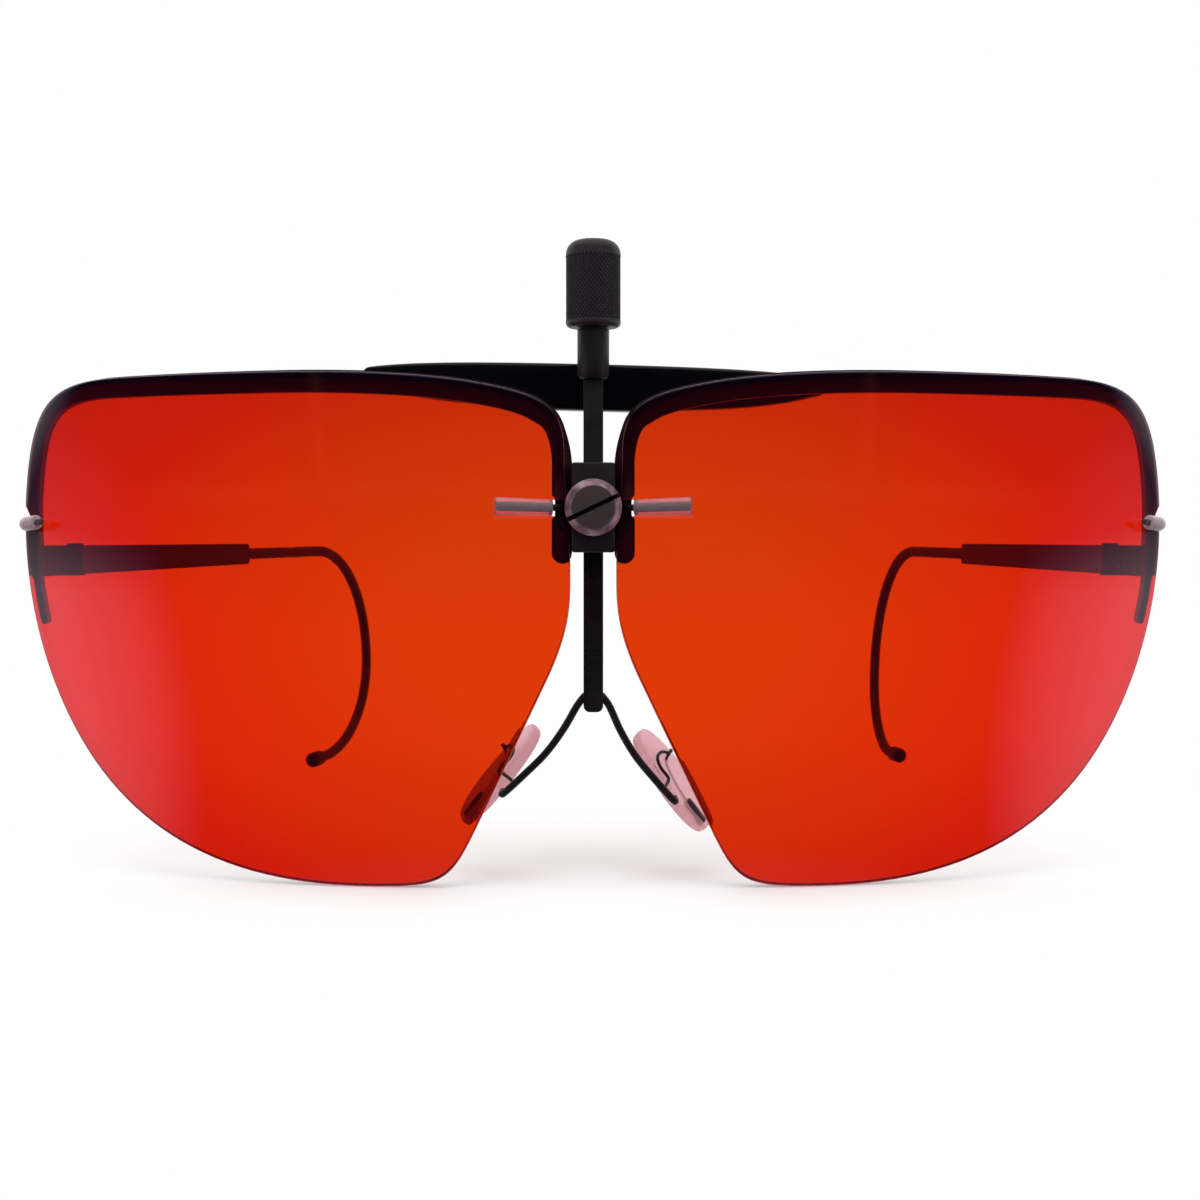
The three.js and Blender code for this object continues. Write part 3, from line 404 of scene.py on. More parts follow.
# %% Lens outline
lens_radius = 88 * mm
lens_thickness = 2 * mm
lens_axis = Vector((20 * mm, 34 * mm))
lens_centre = Vector((lens_axis.x, lens_apex_y + lens_radius, lens_axis.y))
lens_low, lens_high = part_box("lens_right")
lens_inner_x = lens_low.x
lens_corner_top = 53.5 * mm
lens_steps = 26

# Each knot: x, z, heading in degrees, and how far its handles reach before and after it, as shares
lens_knots = [
    (lens_inner_x, 40 * mm, 90, 0.27, 0.33),
    (lens_inner_x + 0.75 * mm, lens_corner_top, 90, 0.33, 0.42),
    (15 * mm, lens_high.z - 1.4 * mm, 9.4, 0.66, 0.24),
    (40 * mm, lens_high.z, 0, 0.4, 0.33),
    (62 * mm, lens_high.z, 0, 0.33, 0.6),
    (lens_high.x, 50.5 * mm, -90, 0.54, 0.33),
    (66.3 * mm, 17.6 * mm, -122, 0.33, 0.36),
    (29 * mm, 0, 180, 0.41, 0.61),
    (14.5 * mm, 7.75 * mm, 115.4, 0.5, 0.33),
    (5.6 * mm, 26.5 * mm, 115.4, 0.33, 0.52),
]


def heading(angle):
    """A step of length one in a direction that is given in degrees."""
    return Vector((math.cos(math.radians(angle)), math.sin(math.radians(angle))))


def lens_edge(steps):
    """Points along the lens outline, as x and z, with some steps between knots."""
    edge = []
    for here, there in zip(lens_knots, lens_knots[1:] + lens_knots[:1]):
        start, end = Vector(here[:2]), Vector(there[:2])
        span = (end - start).length
        leaving = start + heading(here[2]) * span * here[4]
        arriving = end - heading(there[2]) * span * there[3]
        edge += interpolate_bezier(start, leaving, arriving, end, steps + 1)[:-1]
    return edge


def sphere_depth(radius, x, z):
    """Depth of a sphere around the lens's centre, at a place seen from the front."""
    return lens_centre.y - math.sqrt(radius**2 - (Vector((x, z)) - lens_axis).length_squared)


lens_outline = lens_edge(lens_steps)
print("lens outline:", len(lens_outline), "points")

# %% Lens mesh
ring_count = 18
ring_crowding = 1.4
ring_middle = Vector((38 * mm, 0, 46 * mm))
lens_edge_round = 0.22 * mm
lens_back_share = 0.99


def shrink(sheet, share, verts):
    """Scales a part of a flat sheet towards the middle of the rings."""
    bmesh.ops.scale(sheet, vec=(share, 1, share), space=Matrix.Translation(-ring_middle), verts=verts)


def lens_sheet(outline):
    """Flat rings from the outline to its middle, closest together at the edge."""
    sheet = bmesh.new()
    verts = [sheet.verts.new((p.x, 0, p.y)) for p in outline]
    ring = [sheet.edges.new(pair) for pair in zip(verts, verts[1:] + verts[:1])]
    shares = [1 - (i / ring_count) ** ring_crowding for i in range(ring_count)]
    for share, smaller in zip(shares, shares[1:]):
        grown = bmesh.ops.extrude_edge_only(sheet, edges=ring)["geom"]
        ring = [part for part in grown if isinstance(part, bmesh.types.BMEdge) and part.is_boundary]
        shrink(sheet, smaller / share, verts_of(grown))
    grown = bmesh.ops.extrude_edge_only(sheet, edges=ring)["geom"]
    bmesh.ops.pointmerge(sheet, verts=verts_of(grown), merge_co=ring_middle)
    return sheet


def dished(sheet, front_radius, back_radius, edge_round, back_share=1):
    """Lays a flat sheet on one sphere and a scaled copy on another, and joins them by a rounded edge."""
    copy = bmesh.ops.duplicate(sheet, geom=sheet.verts[:] + sheet.edges[:] + sheet.faces[:])
    behind = set(verts_of(copy["geom"]))
    shrink(sheet, back_share, list(behind))
    for vert in sheet.verts:
        radius = back_radius if vert in behind else front_radius
        vert.co.y = sphere_depth(radius, vert.co.x, vert.co.z)
    edges = [edge for edge in sheet.edges if edge.is_boundary]
    bmesh.ops.bridge_loops(sheet, edges=edges)
    round_edges(sheet, edges, edge_round, 3)
    return sheet


# %% [markdown]
# The prongs pass through two notches: a round-ended slot at the bridge, and at the outer edge a square notch
# whose upper corner is filed open. They are filed into the finished lens with a Boolean modifier, so the
# rings of the lens stay even beside them.

# %% Cutting helpers
def rectangle(low_x, low_z, high_x, high_z):
    """Corners of an upright rectangle, as x and z."""
    return [Vector(p) for p in ((low_x, low_z), (high_x, low_z), (high_x, high_z), (low_x, high_z))]


def prism(outline, front, back):
    """A flat outline of x and z points, extruded from one depth to another."""
    shape = bmesh.new()
    face = shape.faces.new([shape.verts.new((p.x, front, p.y)) for p in outline])
    grown = bmesh.ops.extrude_face_region(shape, geom=[face])["geom"]
    bmesh.ops.translate(shape, vec=(0, back - front, 0), verts=verts_of(grown))
    return shape


def cut_away(shape, cutter):
    """Cuts one closed shape out of another with a Boolean modifier."""
    objects = []
    for part in (shape, cutter):
        bmesh.ops.recalc_face_normals(part, faces=part.faces)
        objects.append(add_object("cutting", mesh_from(part, "cutting")))
    body, tool = objects
    boolean = body.modifiers.new("cut", "BOOLEAN")
    boolean.object = tool
    boolean.operation = "DIFFERENCE"
    evaluated = body.evaluated_get(bpy.context.evaluated_depsgraph_get())
    result = bmesh.new()
    result.from_mesh(evaluated.to_mesh())
    evaluated.to_mesh_clear()
    for used in objects:
        mesh = used.data
        bpy.data.objects.remove(used)
        bpy.data.meshes.remove(mesh)
    return result


# %% Notches
sleeve_diameter = 1.9 * mm
notch_gap = 0.1 * mm
notch_half = sleeve_diameter / 2 + notch_gap
inner_prong = Vector((4.05 * mm, 47.4 * mm))
inner_notch_end = 5.6 * mm
outer_prong = Vector((lens_high.x - 1 * mm, 45.45 * mm))
outer_notch_below = 0.75 * notch_half
filed_depth = 1.15 * mm
filed_height = 1.75 * mm
file_overlap = 0.1 * mm
cut_margin = 1 * mm
rim_margin = 5 * mm
past_edge = lens_high.x + cut_margin
cut_depths = (lens_apex_y - cut_margin, lens_high.y + rim_margin)


def inner_slot():
    """Cutter of the round-ended slot at the bridge."""
    middle = Vector((inner_notch_end - notch_half, inner_prong.y))
    arc = [middle + heading(angle) * notch_half for angle in range(-90, 91, 15)]
    mouth = [Vector((0, arc[-1].y)), Vector((0, arc[0].y))]
    return prism(arc + mouth, *cut_depths)


def outer_notch():
    """Cutter of the square notch at the outer edge."""
    low = outer_prong.y - outer_notch_below
    high = outer_prong.y + notch_half
    return prism(rectangle(outer_prong.x - notch_half, low, past_edge, high), *cut_depths)


def filed_corner():
    """Cutter of the slanted corner above the outer notch."""
    low = outer_prong.y + notch_half - file_overlap
    slope = filed_height / filed_depth
    run = past_edge - lens_high.x + filed_depth
    corners = [(past_edge - run, low), (past_edge, low), (past_edge, low + slope * run)]
    return prism([Vector(p) for p in corners], *cut_depths)


# %% [markdown]
# The lens is clear plastic, dyed orange-red: white light comes out of it red, with a trace of green and no
# blue. Towards the top and bottom the lens is less red, and towards the whole rim less green. The
# walls that the lens mirrors at its sides look pink. Light from the lamps has to pass the lens too, so for
# shadow rays the material is a plain pane, paler than the dye. The ground edge round it is rough and dark.

# %% Lens finishes
red_centre, red_reach = (0, 0, 26 * mm), (0, 0, 1 / (40 * mm))
green_centre, green_reach = (0, 0, 33 * mm), (1 / (66 * mm), 0, 1 / (42 * mm))
red_most, red_least = 0.775, 0.605
green_most, green_least = 0.044, 0.0135
red_fade = (0.15, 0.85)
green_fade = (0.35, 0.95)
lens_blue = 0.0003
lens_shade = (0.86, 0.8, 0.8, 1)
lens_finish, tree, shader = new_finish(
    "tinted_lens",
    {
        "Roughness": 0.02,
        "IOR": 1.58,
        "Transmission Weight": 1.0,
        "Specular Tint": (0.75, 0.65, 1, 1),
    },
)
# Less red towards the top and bottom, and less green towards the whole rim
red = spread(tree, distance(tree, red_centre, red_reach), red_most, red_least, *red_fade)
green = spread(tree, distance(tree, green_centre, green_reach), green_most, green_least, *green_fade)
lens_colour = add_node(tree, "ShaderNodeCombineColor", {"Red": red, "Green": green, "Blue": lens_blue})
fill(shader, {"Base Color": lens_colour.outputs["Color"]})
pane = add_node(tree, "ShaderNodeBsdfTransparent", {"Color": lens_shade})
swap_surface(tree, add_node(tree, "ShaderNodeLightPath").outputs["Is Shadow Ray"], shader, pane)

edge_finish, tree, shader = new_finish("ground_lens_edge", {"Transmission Weight": 0.25, "IOR": 1.5})
ground_marks = grain(tree, 1.2 * mm)
edge_dye = shade(tree, ground_marks, (0.3, (0.2, 0.022, 0.028)), (0.7, (0.25, 0.03, 0.036)))
fill(shader, {"Base Color": edge_dye, "Roughness": spread(tree, ground_marks, 0.2, 0.35)})

# %% Lenses
edge_slant = 0.75


def mark_edge(shape):
    """Gives the second finish to the faces of a lens that don't lie along its sphere."""
    shape.normal_update()
    for face in shape.faces:
        outward = (face.calc_center_median() - lens_centre).normalized()
        if abs(face.normal.dot(outward)) < edge_slant:
            face.material_index = 1


lens_back = lens_radius - lens_thickness
lens = dished(lens_sheet(lens_outline), lens_radius, lens_back, lens_edge_round, lens_back_share)
for cutter in (inner_slot(), outer_notch(), filed_corner()):
    lens = cut_away(lens, cutter)
mark_edge(lens)
make_pair("lens", lens, lens_finish, edge_finish)

# %% [markdown]
# ## Half rims
# A half rim is a flat band, dished like the lens, that runs up a leg beside the bridge, along the top and
# down the outer side, where it narrows to a tail. It is drawn as a ladder of stations: at each point of the
# lens edge the band has an outer and an inner rail, and the two rails are bridged. The rails blend from one
# stretch to the next with smooth steps, and both ends close in a half circle.

# %% Rim sizes
seat_gap = 0.3 * mm
rim_thickness = 1.2 * mm
rim_front = lens_back - seat_gap
rim_back = rim_front - rim_thickness
rim_edge_round = 0.2 * mm
rim_steps = 80

# Each band: how far its outer rail lies inside the lens edge, and its width
top_band = Vector((-0.35 * mm, 3.2 * mm))
side_band = Vector((-0.2 * mm, 2.7 * mm))
tail_band = Vector((0.9 * mm, 1.1 * mm))
side_lateness = 10
tail_foot = 32.2 * mm
tail_top = tail_foot + 5.7 * mm
tail_blend = 1.8 * mm

leg_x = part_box("bridge_block")[1].x + 0.02 * mm
leg_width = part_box("rim_right")[0].x + 2.3 * mm - leg_x
leg_foot = 40.5 * mm
leg_top = lens_corner_top - 1 * mm
outer_rise = 5 * mm
inner_rise = 8 * mm
waist_depth = 0.5 * mm
waist_half = 1.5 * mm
waist_flat = 0.6 * waist_half
print("rim legs:", leg_width, "wide")


# %% Rim stations
def smooth_step(value, low, high):
    """Rises softly from 0 to 1 as a value runs from low to high."""
    share = min(max((value - low) / (high - low), 0), 1)
    return share * share * (3 - 2 * share)


def rim_rails(point, inward):
    """Outer and inner rail of the band beside one point of the lens edge."""
    band = top_band
    if point.x > lens_axis.x:
        band = band.lerp(side_band, max(0, -inward.x) ** side_lateness)
        band = tail_band.lerp(band, smooth_step(point.y, tail_top, tail_top + tail_blend))
    outer = point + inward * band.x
    inner = outer + inward * band.y
    if point.x < lens_axis.x:
        from_prong = abs(point.y - inner_prong.y)
        waist = waist_depth * (1 - smooth_step(from_prong, waist_flat, waist_half))
        leg_outer = Vector((leg_x, point.y))
        leg_inner = Vector((leg_x + leg_width - waist, point.y))
        outer = leg_outer.lerp(outer, smooth_step(point.y, leg_top, leg_top + outer_rise))
        inner = leg_inner.lerp(inner, smooth_step(point.y, leg_top, leg_top + inner_rise))
    return outer, inner


def round_end(outer, inner):
    """Rails that close the lower end of a band in a half circle."""
    middle = (outer + inner) / 2
    half = (inner - outer) / 2
    down = Vector((-half.y, half.x))
    down *= -math.copysign(1, down.y)
    rails = []
    for angle in (20, 40, 60, 75, 87):
        across, along = heading(angle)
        rails.append((middle + down * along - half * across, middle + down * along + half * across))
    return rails


def rim_stations():
    """All stations of the band, from the foot of the leg to the end of the tail."""
    edge = lens_edge(rim_steps)
    leg_end = leg_foot + leg_width / 2
    tail_end = tail_foot + tail_band.y / 2
    first = next(i for i, p in enumerate(edge) if p.y > leg_end)
    last = next(i for i, p in enumerate(edge) if p.x > lens_axis.x and p.y < tail_end)
    stations = []
    for i in range(first, last + 1):
        along = (edge[i + 1] - edge[i - 1]).normalized()
        stations.append(rim_rails(edge[i], Vector((along.y, -along.x))))
    return round_end(*stations[0])[::-1] + stations + round_end(*stations[-1])


def rim_sheet():
    """Bridges the two rails of the band."""
    stations = rim_stations()
    sheet = bmesh.new()
    rails = []
    for rail in zip(*stations):
        verts = [sheet.verts.new((p.x, 0, p.y)) for p in rail]
        rails += [sheet.edges.new(pair) for pair in zip(verts, verts[1:])]
    bmesh.ops.bridge_loops(sheet, edges=rails)
    print("rim band:", len(stations), "stations")
    return sheet


# %% [markdown]
# The metal is coated black with a satin sheen. A fine grain in the coating breaks up the reflections, and
# patches of slightly browner black keep it from looking like paint out of a tin. The rims get a redder black
# of the same kind.

# %% Satin black finish
patch_size = 2.5 * mm
speckle_size = 0.12 * mm
speckle_depth = 0.006 * mm


def satin_black(name, dark, light, roughness):
    """Black coating with a fine grain, browner in patches."""
    finish, tree, shader = new_finish(name, {"Specular IOR Level": 0.3})
    coat = shade(tree, grain(tree, patch_size), (0.35, dark), (0.65, light))
    speckle = grain(tree, speckle_size, 2)
    sheen = spread(tree, speckle, roughness - 0.06, roughness + 0.08)
    fill(shader, {"Base Color": coat, "Roughness": sheen})
    roughen(tree, shader, speckle, speckle_depth)
    return finish


black_metal = satin_black("satin_black_metal", (0.0105, 0.0098, 0.01), (0.016, 0.0145, 0.0145), 0.42)
rim_black = satin_black("rim_black", (0.008, 0.002, 0.0035), (0.013, 0.0035, 0.0055), 0.36)

# %% Rims
rim = dished(rim_sheet(), rim_front, rim_back, rim_edge_round)
make_pair("rim", cut_away(rim, filed_corner()), rim_black)

# %% [markdown]
# ## Wires
# Prongs, sleeves, pad arms and ear cables are all round bars along a path. A disc is extruded from one frame
# of the path to the next; the frames turn as little as they can, so the bar doesn't twist. A curve object
# with a bevel would look the same, but the ridges of the wound cables need the rings of the bar's mesh.

# %% Bars along a path
def frames_along(path):
    """A matrix at each point of a path, with its Z axis along it."""
    steps = zip(path[:1] + path, path[1:] + path[-1:])
    tangents = [(after - before).normalized() for before, after in steps]
    turn = Vector((0, 0, 1)).rotation_difference(tangents[0])
    frames = []
    for i, (point, tangent) in enumerate(zip(path, tangents)):
        turn = tangents[max(i - 1, 0)].rotation_difference(tangent) @ turn
        frames.append(Matrix.Translation(point) @ turn.to_matrix().to_4x4())
    return frames


def bar_along(path, radius, end_round, segments=20):
    """A round bar along a path, with rounded ends."""
    shape = bmesh.new()
    frames = frames_along(path)
    bmesh.ops.create_circle(shape, cap_ends=True, segments=segments, radius=radius, matrix=frames[0])
    end = shape.faces[:]
    for before, after in zip(frames, frames[1:]):
        grown = bmesh.ops.extrude_face_region(shape, geom=end)["geom"]
        end = faces_of(grown)
        bmesh.ops.transform(shape, matrix=after @ before.inverted(), verts=verts_of(grown))
    if end_round:
        bmesh.ops.recalc_face_normals(shape, faces=shape.faces)
        caps = [face for face in shape.faces if len(face.verts) == segments]
        round_edges(shape, [edge for face in caps for edge in face.edges], end_round, 4)
    return shape


# %% [markdown]
# A prong comes through the rim from behind, bends over and lies along the lens. Clear tube is pushed over it,
# so that metal never touches the lens. The tube grips the wire, which therefore looks thicker than it is: a
# solid clear rod around a thin wire shows that, while a thin wall with air inside would not.

# %% Prong path
prong_radius = 0.4 * mm
prong_bend = 0.9 * mm
prong_tail = 0.5 * mm
prong_end_round = 0.15 * mm


def prong_line(place):
    """Where a prong starts behind the rim, its elbow, and its direction along the lens."""
    x, z = place
    elbow = Vector((x, sphere_depth(lens_radius + seat_gap + sleeve_diameter / 2, x, z), z))
    back = Vector((x, sphere_depth(rim_back, x, z) + prong_tail, z))
    normal = (elbow - lens_centre).normalized()
    along = Vector((math.copysign(1, lens_axis.x - x), 0, 0))
    along = (along - normal * along.dot(normal)).normalized()
    return back, elbow, along


def elbow_bend(elbow, along):
    """Points round the bend, from behind the elbow to beside it."""
    start = elbow + Vector((0, prong_bend, 0))
    end = elbow + along * prong_bend
    return interpolate_bezier(start, start.lerp(elbow, 2 / 3), end.lerp(elbow, 2 / 3), end, 9)


# %% Prong and sleeve finishes
prong_steel, tree, shader = new_finish("prong_steel", {"Metallic": 0.3})
drawn = grain(tree, 1.2 * mm, 1)
wire = shade(tree, drawn, (0.3, (0.06, 0.04, 0.042)), (0.7, (0.09, 0.062, 0.065)))
fill(shader, {"Base Color": wire, "Roughness": spread(tree, drawn, 0.3, 0.4)})


def vinyl_tube(name, clearness):
    """Pink vinyl, from milky to clear."""
    values = {"IOR": 1.45, "Transmission Weight": clearness, "Specular Tint": (1, 0.75, 0.85, 1)}
    finish, tree, shader = new_finish(name, values)
    cloud = grain(tree, 1.5 * mm)
    pink = shade(tree, cloud, (0.3, (0.97, 0.74, 0.80)), (0.7, (0.98, 0.82, 0.87)))
    fill(shader, {"Base Color": pink, "Roughness": spread(tree, cloud, 0.03, 0.06)})
    return finish


clear_tube = vinyl_tube("clear_tube", 0.85)
milky_tube = vinyl_tube("milky_tube", 0.6)

# %% Sleeves
sleeve_segments = 32
sleeve_end_round = 0.2 * mm
sleeve_overhang = 0.3 * mm
sleeve_flare = 0.16


def sleeve_along(path):
    """A solid rod of tube along a path."""
    return bar_along(path, sleeve_diameter / 2, sleeve_end_round, sleeve_segments)


def flared(shape, start, end, growth):
    """Widens a straight bar evenly from its start to its end."""
    length = (end - start).length
    along = (end - start) / length
    for vert in shape.verts:
        reach = (vert.co - start).dot(along)
        axis_point = start + along * reach
        vert.co = axis_point + (vert.co - axis_point) * (1 + growth * max(reach, 0) / length)
    return shape


# %% [markdown]
# The prong at the bridge is black from behind the rim to a little past its bend, and its tube widens towards
# the end. At the outer edge the tube follows the wire round the bend and leaves its tip bare.

# %% Prongs and sleeves
inner_run = 7.6 * mm
inner_black = 0.5 * mm
outer_run = 3.6 * mm
outer_bare_tip = 1.1 * mm

back, elbow, along = prong_line(inner_prong)
bend = elbow_bend(elbow, along)
tip = elbow + along * inner_run
black_end = bend[-1] + along * inner_black
prong = bar_along([back, *bend, black_end, tip], prong_radius, prong_end_round)
# Faces short of the black end take the rim's black finish
for face in prong.faces:
    if face.calc_center_median().x < black_end.x:
        face.material_index = 1
make_pair("inner_prong", prong, prong_steel, rim_black)
sleeve_end = tip + along * sleeve_overhang
sleeve = flared(sleeve_along([bend[-1], sleeve_end]), elbow, sleeve_end, sleeve_flare)
make_pair("inner_sleeve", sleeve, clear_tube)

back, elbow, along = prong_line(outer_prong)
bend = elbow_bend(elbow, along)
tip = elbow + along * outer_run
make_pair("outer_prong", bar_along([back, *bend, tip], prong_radius, prong_end_round), prong_steel)
make_pair("outer_sleeve", sleeve_along([*bend, tip - along * outer_bare_tip]), milky_tube)

# %% [markdown]
# ## Milled pieces
# The hinge parts and the pad hinges are plain prismatic pieces. Their solids have the right shape and only
# lack the small rounding that every real edge has, which is what catches the light. So a copy of the solid's
# mesh is merged, its flat faces are joined, and its sharp edges are bevelled. On the longer pieces a weighted
# normal modifier keeps the flats evenly lit up to their bevels.

# %% Softened copies
weld_distance = 0.002 * mm
flat_angle = math.radians(1)
endpiece_round = 0.15 * mm
temple_round = 0.25 * mm


def softened(node, width, segments):
    """A copy of a node's solid with its sharp edges rounded."""
    shape = bmesh.new()
    shape.from_mesh(frame["nodes"][node].data)
    bmesh.ops.remove_doubles(shape, verts=shape.verts, dist=weld_distance)
    bmesh.ops.dissolve_limit(
        shape, angle_limit=flat_angle, verts=shape.verts, edges=shape.edges, use_dissolve_boundaries=False
    )
    round_edges(shape, sharp_edges(shape), width, segments)
    return shape


for side in sides:
    for stem, width, segments in (("endpiece", endpiece_round, 2), ("temple_bar", temple_round, 3)):
        node = f"{stem}_{side}"
        make_piece(node, softened(node, width, segments), black_metal, even_flats=True)

# %% [markdown]
# The bridge block is milled from bar stock between the legs of the rims. Its corners are only broken, which a
# prism with bevelled edges shows. The nose bar fills the block's slot, so the slot itself needs no cut.

# %% Bridge block
block_low, block_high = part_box("bridge_block")
block_round = 0.28 * mm
block_front = rectangle(block_low.x, block_low.z, block_high.x, block_high.z)
block = prism(block_front, block_low.y, block_high.y)
round_edges(block, block.edges[:], block_round, 3)
make_piece("bridge_block", block, black_metal)

# %% [markdown]
# The nose bar is a flat strip with a rounded foot, from which the two pad arms come out sideways. Two fine
# lines across it show how far it has been pushed down.

# %% Nose bar
bar_low, bar_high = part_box("nose_bar")
bar_half = 1.225 * mm
bar_round = 0.12 * mm
foot_round = 0.8 * mm
index_lines = [29.65 * mm, 29.2 * mm]
line_half = 0.07 * mm
line_depth = 0.08 * mm


def nose_bar():
    """The strip with its round foot and two scored lines."""
    foot = []
    for side, start in ((-1, 180), (1, 270)):
        middle = Vector((side * (bar_half - foot_round), bar_low.z + foot_round))
        foot += [middle + heading(start + angle) * foot_round for angle in range(0, 91, 15)]
    top = [Vector((bar_half, bar_high.z)), Vector((-bar_half, bar_high.z))]
    strip = prism(foot + top, bar_low.y, bar_high.y)
    round_edges(strip, sharp_edges(strip), bar_round, 3)
    for height in index_lines:
        line = rectangle(-2 * bar_half, height - line_half, 2 * bar_half, height + line_half)
        strip = cut_away(strip, prism(line, bar_low.y - line_depth, bar_low.y + line_depth))
    return strip


make_piece("nose_bar", nose_bar(), black_metal)

# %% [markdown]
# ## Turned pieces
# Screws, studs, pins and the knob come off a lathe, and a spin makes them the same way: a profile of radius
# and height pairs goes once round the Z axis. The seam and the points on the axis are merged, sharp edges are
# rounded, and a matrix puts the piece in its place.

# %% Spin
def spun(profile, place, edge_round=0, steps=48):
    """A turned piece from (radius, height) pairs, moved to its place by a matrix."""
    shape = bmesh.new()
    verts = [shape.verts.new((radius, 0, height)) for radius, height in profile]
    edges = [shape.edges.new(pair) for pair in zip(verts, verts[1:])]
    bmesh.ops.spin(
        shape, geom=verts + edges, cent=(0, 0, 0), axis=(0, 0, 1),
        angle=2 * math.pi, steps=steps, use_merge=True,
    )
    bmesh.ops.remove_doubles(shape, verts=shape.verts, dist=0.001 * mm)
    bmesh.ops.recalc_face_normals(shape, faces=shape.faces)
    if edge_round:
        round_edges(shape, sharp_edges(shape, 30), edge_round)
    bmesh.ops.transform(shape, matrix=place, verts=shape.verts)
    return shape


def quarter_round(radius, height, size, start, steps):
    """Profile points on a quarter circle, from a starting angle in degrees."""
    turns = [heading(start + 90 * i / steps) for i in range(steps + 1)]
    return [(radius + size * turn.x, height + size * turn.y) for turn in turns]


def slot_cutter(length, width, depth, place):
    """A bar that cuts a screwdriver slot from the height zero down."""
    cutter = bmesh.new()
    bmesh.ops.create_cube(cutter, size=1)
    bmesh.ops.scale(cutter, vec=(length, width, 2 * depth), verts=cutter.verts)
    bmesh.ops.transform(cutter, matrix=place, verts=cutter.verts)
    return cutter


# %% [markdown]
# The clamp screw has a flat face with fine lathe rings, a wide chamfer and a narrow slot. The face was
# darkened and the chamfer is worn bright again, so both the rings and the colour follow the distance from the
# screw's axis.

# %% Clamp screw finish
screw_low, screw_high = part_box("clamp_screw")
screw_z = (screw_low.z + screw_high.z) / 2
screw_radius = (screw_high.z - screw_low.z) / 2
screw_chamfer = 0.8 * mm
face_edge = 1 - screw_chamfer / screw_radius
chamfer_turn = (face_edge - 0.04, face_edge + 0.02)
face_steel = (0.1, 0.076, 0.068, 1)
lathe_rings = 30
lathe_ring_depth = 0.0015 * mm

screw_steel, tree, shader = new_finish("screw_steel", {"Metallic": 0.5})
reach = distance(tree, (0, 0, screw_z), (1 / screw_radius, 0, 1 / screw_radius))
on_chamfer = spread(tree, reach, 0, 1, *chamfer_turn)
wear = shade(tree, grain(tree, 1.6 * mm), (0.4, (0.17, 0.09, 0.115)), (0.62, (0.38, 0.27, 0.3)))
inputs = {"W": reach, "Scale": lathe_rings}
rings = add_node(tree, "ShaderNodeTexNoise", inputs, noise_dimensions="1D").outputs["Fac"]
steel = blend(tree, on_chamfer, face_steel, wear)
fill(shader, {"Base Color": steel, "Roughness": spread(tree, rings, 0.24, 0.36)})
roughen(tree, shader, rings, lathe_ring_depth)
# The slot's walls and floor get a near-black finish of their own: painted shade in the recess
slot_painted_shade = satin_black("slot_painted_shade", (0.004, 0.0035, 0.0035), (0.007, 0.006, 0.006), 0.6)

# %% Clamp screw
screw_head = 2 * mm
screw_shank = 1.4 * mm
screw_round = 0.08 * mm
screw_slot = 0.55 * mm
screw_slot_depth = 0.8 * mm
screw_slot_angle = math.radians(25.7)
slot_touch = 0.005 * mm
facing_front = Matrix.Rotation(math.pi / 2, 4, "X")
screw_place = Matrix.Translation((0, screw_low.y, screw_z)) @ facing_front
slot_place = screw_place @ Matrix.Rotation(screw_slot_angle, 4, "Z")
screw_profile = [
    (0, 0),
    (screw_radius - screw_chamfer, 0),
    (screw_radius, -screw_chamfer),
    (screw_radius, -screw_head),
    (screw_shank, -screw_head),
    (screw_shank, screw_low.y - screw_high.y),
    (0, screw_low.y - screw_high.y),
]
screw = spun(screw_profile, screw_place, screw_round, 72)
screw = cut_away(screw, slot_cutter(3 * screw_radius, screw_slot, screw_slot_depth, slot_place))
# Faces inside the slot take the near-black finish, the slot's painted shade
for face in screw.faces:
    across = slot_place.inverted() @ face.calc_center_median()
    between_walls = abs(across.y) < screw_slot / 2 + slot_touch
    if between_walls and -screw_slot_depth - slot_touch < across.z < -slot_touch:
        face.material_index = 1
make_piece("clamp_screw", screw, screw_steel, slot_painted_shade, crease=25)

# %% [markdown]
# ## Knob
# The knob is gripped with the fingertips to set the height of the pads, so its side is cut in a diamond
# knurl. On a net of squares round the knob, every second vertex is pushed in. Splitting the squares between
# the pushed-in vertices turns the net into small pyramids with grooves that run both ways at an angle.

# %% Knob mesh
knob_low, knob_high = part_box("knurled_knob")
ferrule_low, ferrule_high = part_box("knob_ferrule")
knob_y = (knob_low.y + knob_high.y) / 2
knob_radius = (knob_high.x - knob_low.x) / 2
knob_bottom = ferrule_high.z + 0.15 * mm
knob_dome = 1.8 * mm
knob_lower_round = 0.6 * mm
knurl_columns = 84
knurl_rows = 28
knurl_depth = 0.13 * mm
knurl_bottom = knob_bottom + knob_lower_round
knurl_top = knob_high.z - knob_dome
knurl_row = (knurl_top - knurl_bottom) / knurl_rows
knob_profile = [
    (0, knob_bottom),
    *quarter_round(knob_radius - knob_lower_round, knurl_bottom, knob_lower_round, -90, 6),
    *[(knob_radius, knurl_bottom + knurl_row * i) for i in range(knurl_rows + 1)],
    *quarter_round(knob_radius - knob_dome, knurl_top, knob_dome, 0, 10),
    (0, knob_high.z),
]


def knurl(shape):
    """Pushes in every second vertex of the knob's side and splits the squares along the grooves."""
    band = []
    for vert in shape.verts:
        row = (vert.co.z - knurl_bottom) / knurl_row
        column = math.atan2(vert.co.y, vert.co.x) * knurl_columns / (2 * math.pi)
        if 0.5 < row < knurl_rows - 0.5:
            band.append(vert)
            if (round(row) + round(column)) % 2:
                vert.co.xy *= (knob_radius - knurl_depth) / knob_radius
    faces = {face for vert in band for face in vert.link_faces}
    bmesh.ops.triangulate(shape, faces=list(faces), quad_method="SHORT_EDGE")


knob = spun(knob_profile, Matrix.Identity(4), steps=knurl_columns)
knurl(knob)
bmesh.ops.translate(knob, vec=(0, knob_y, 0), verts=knob.verts)

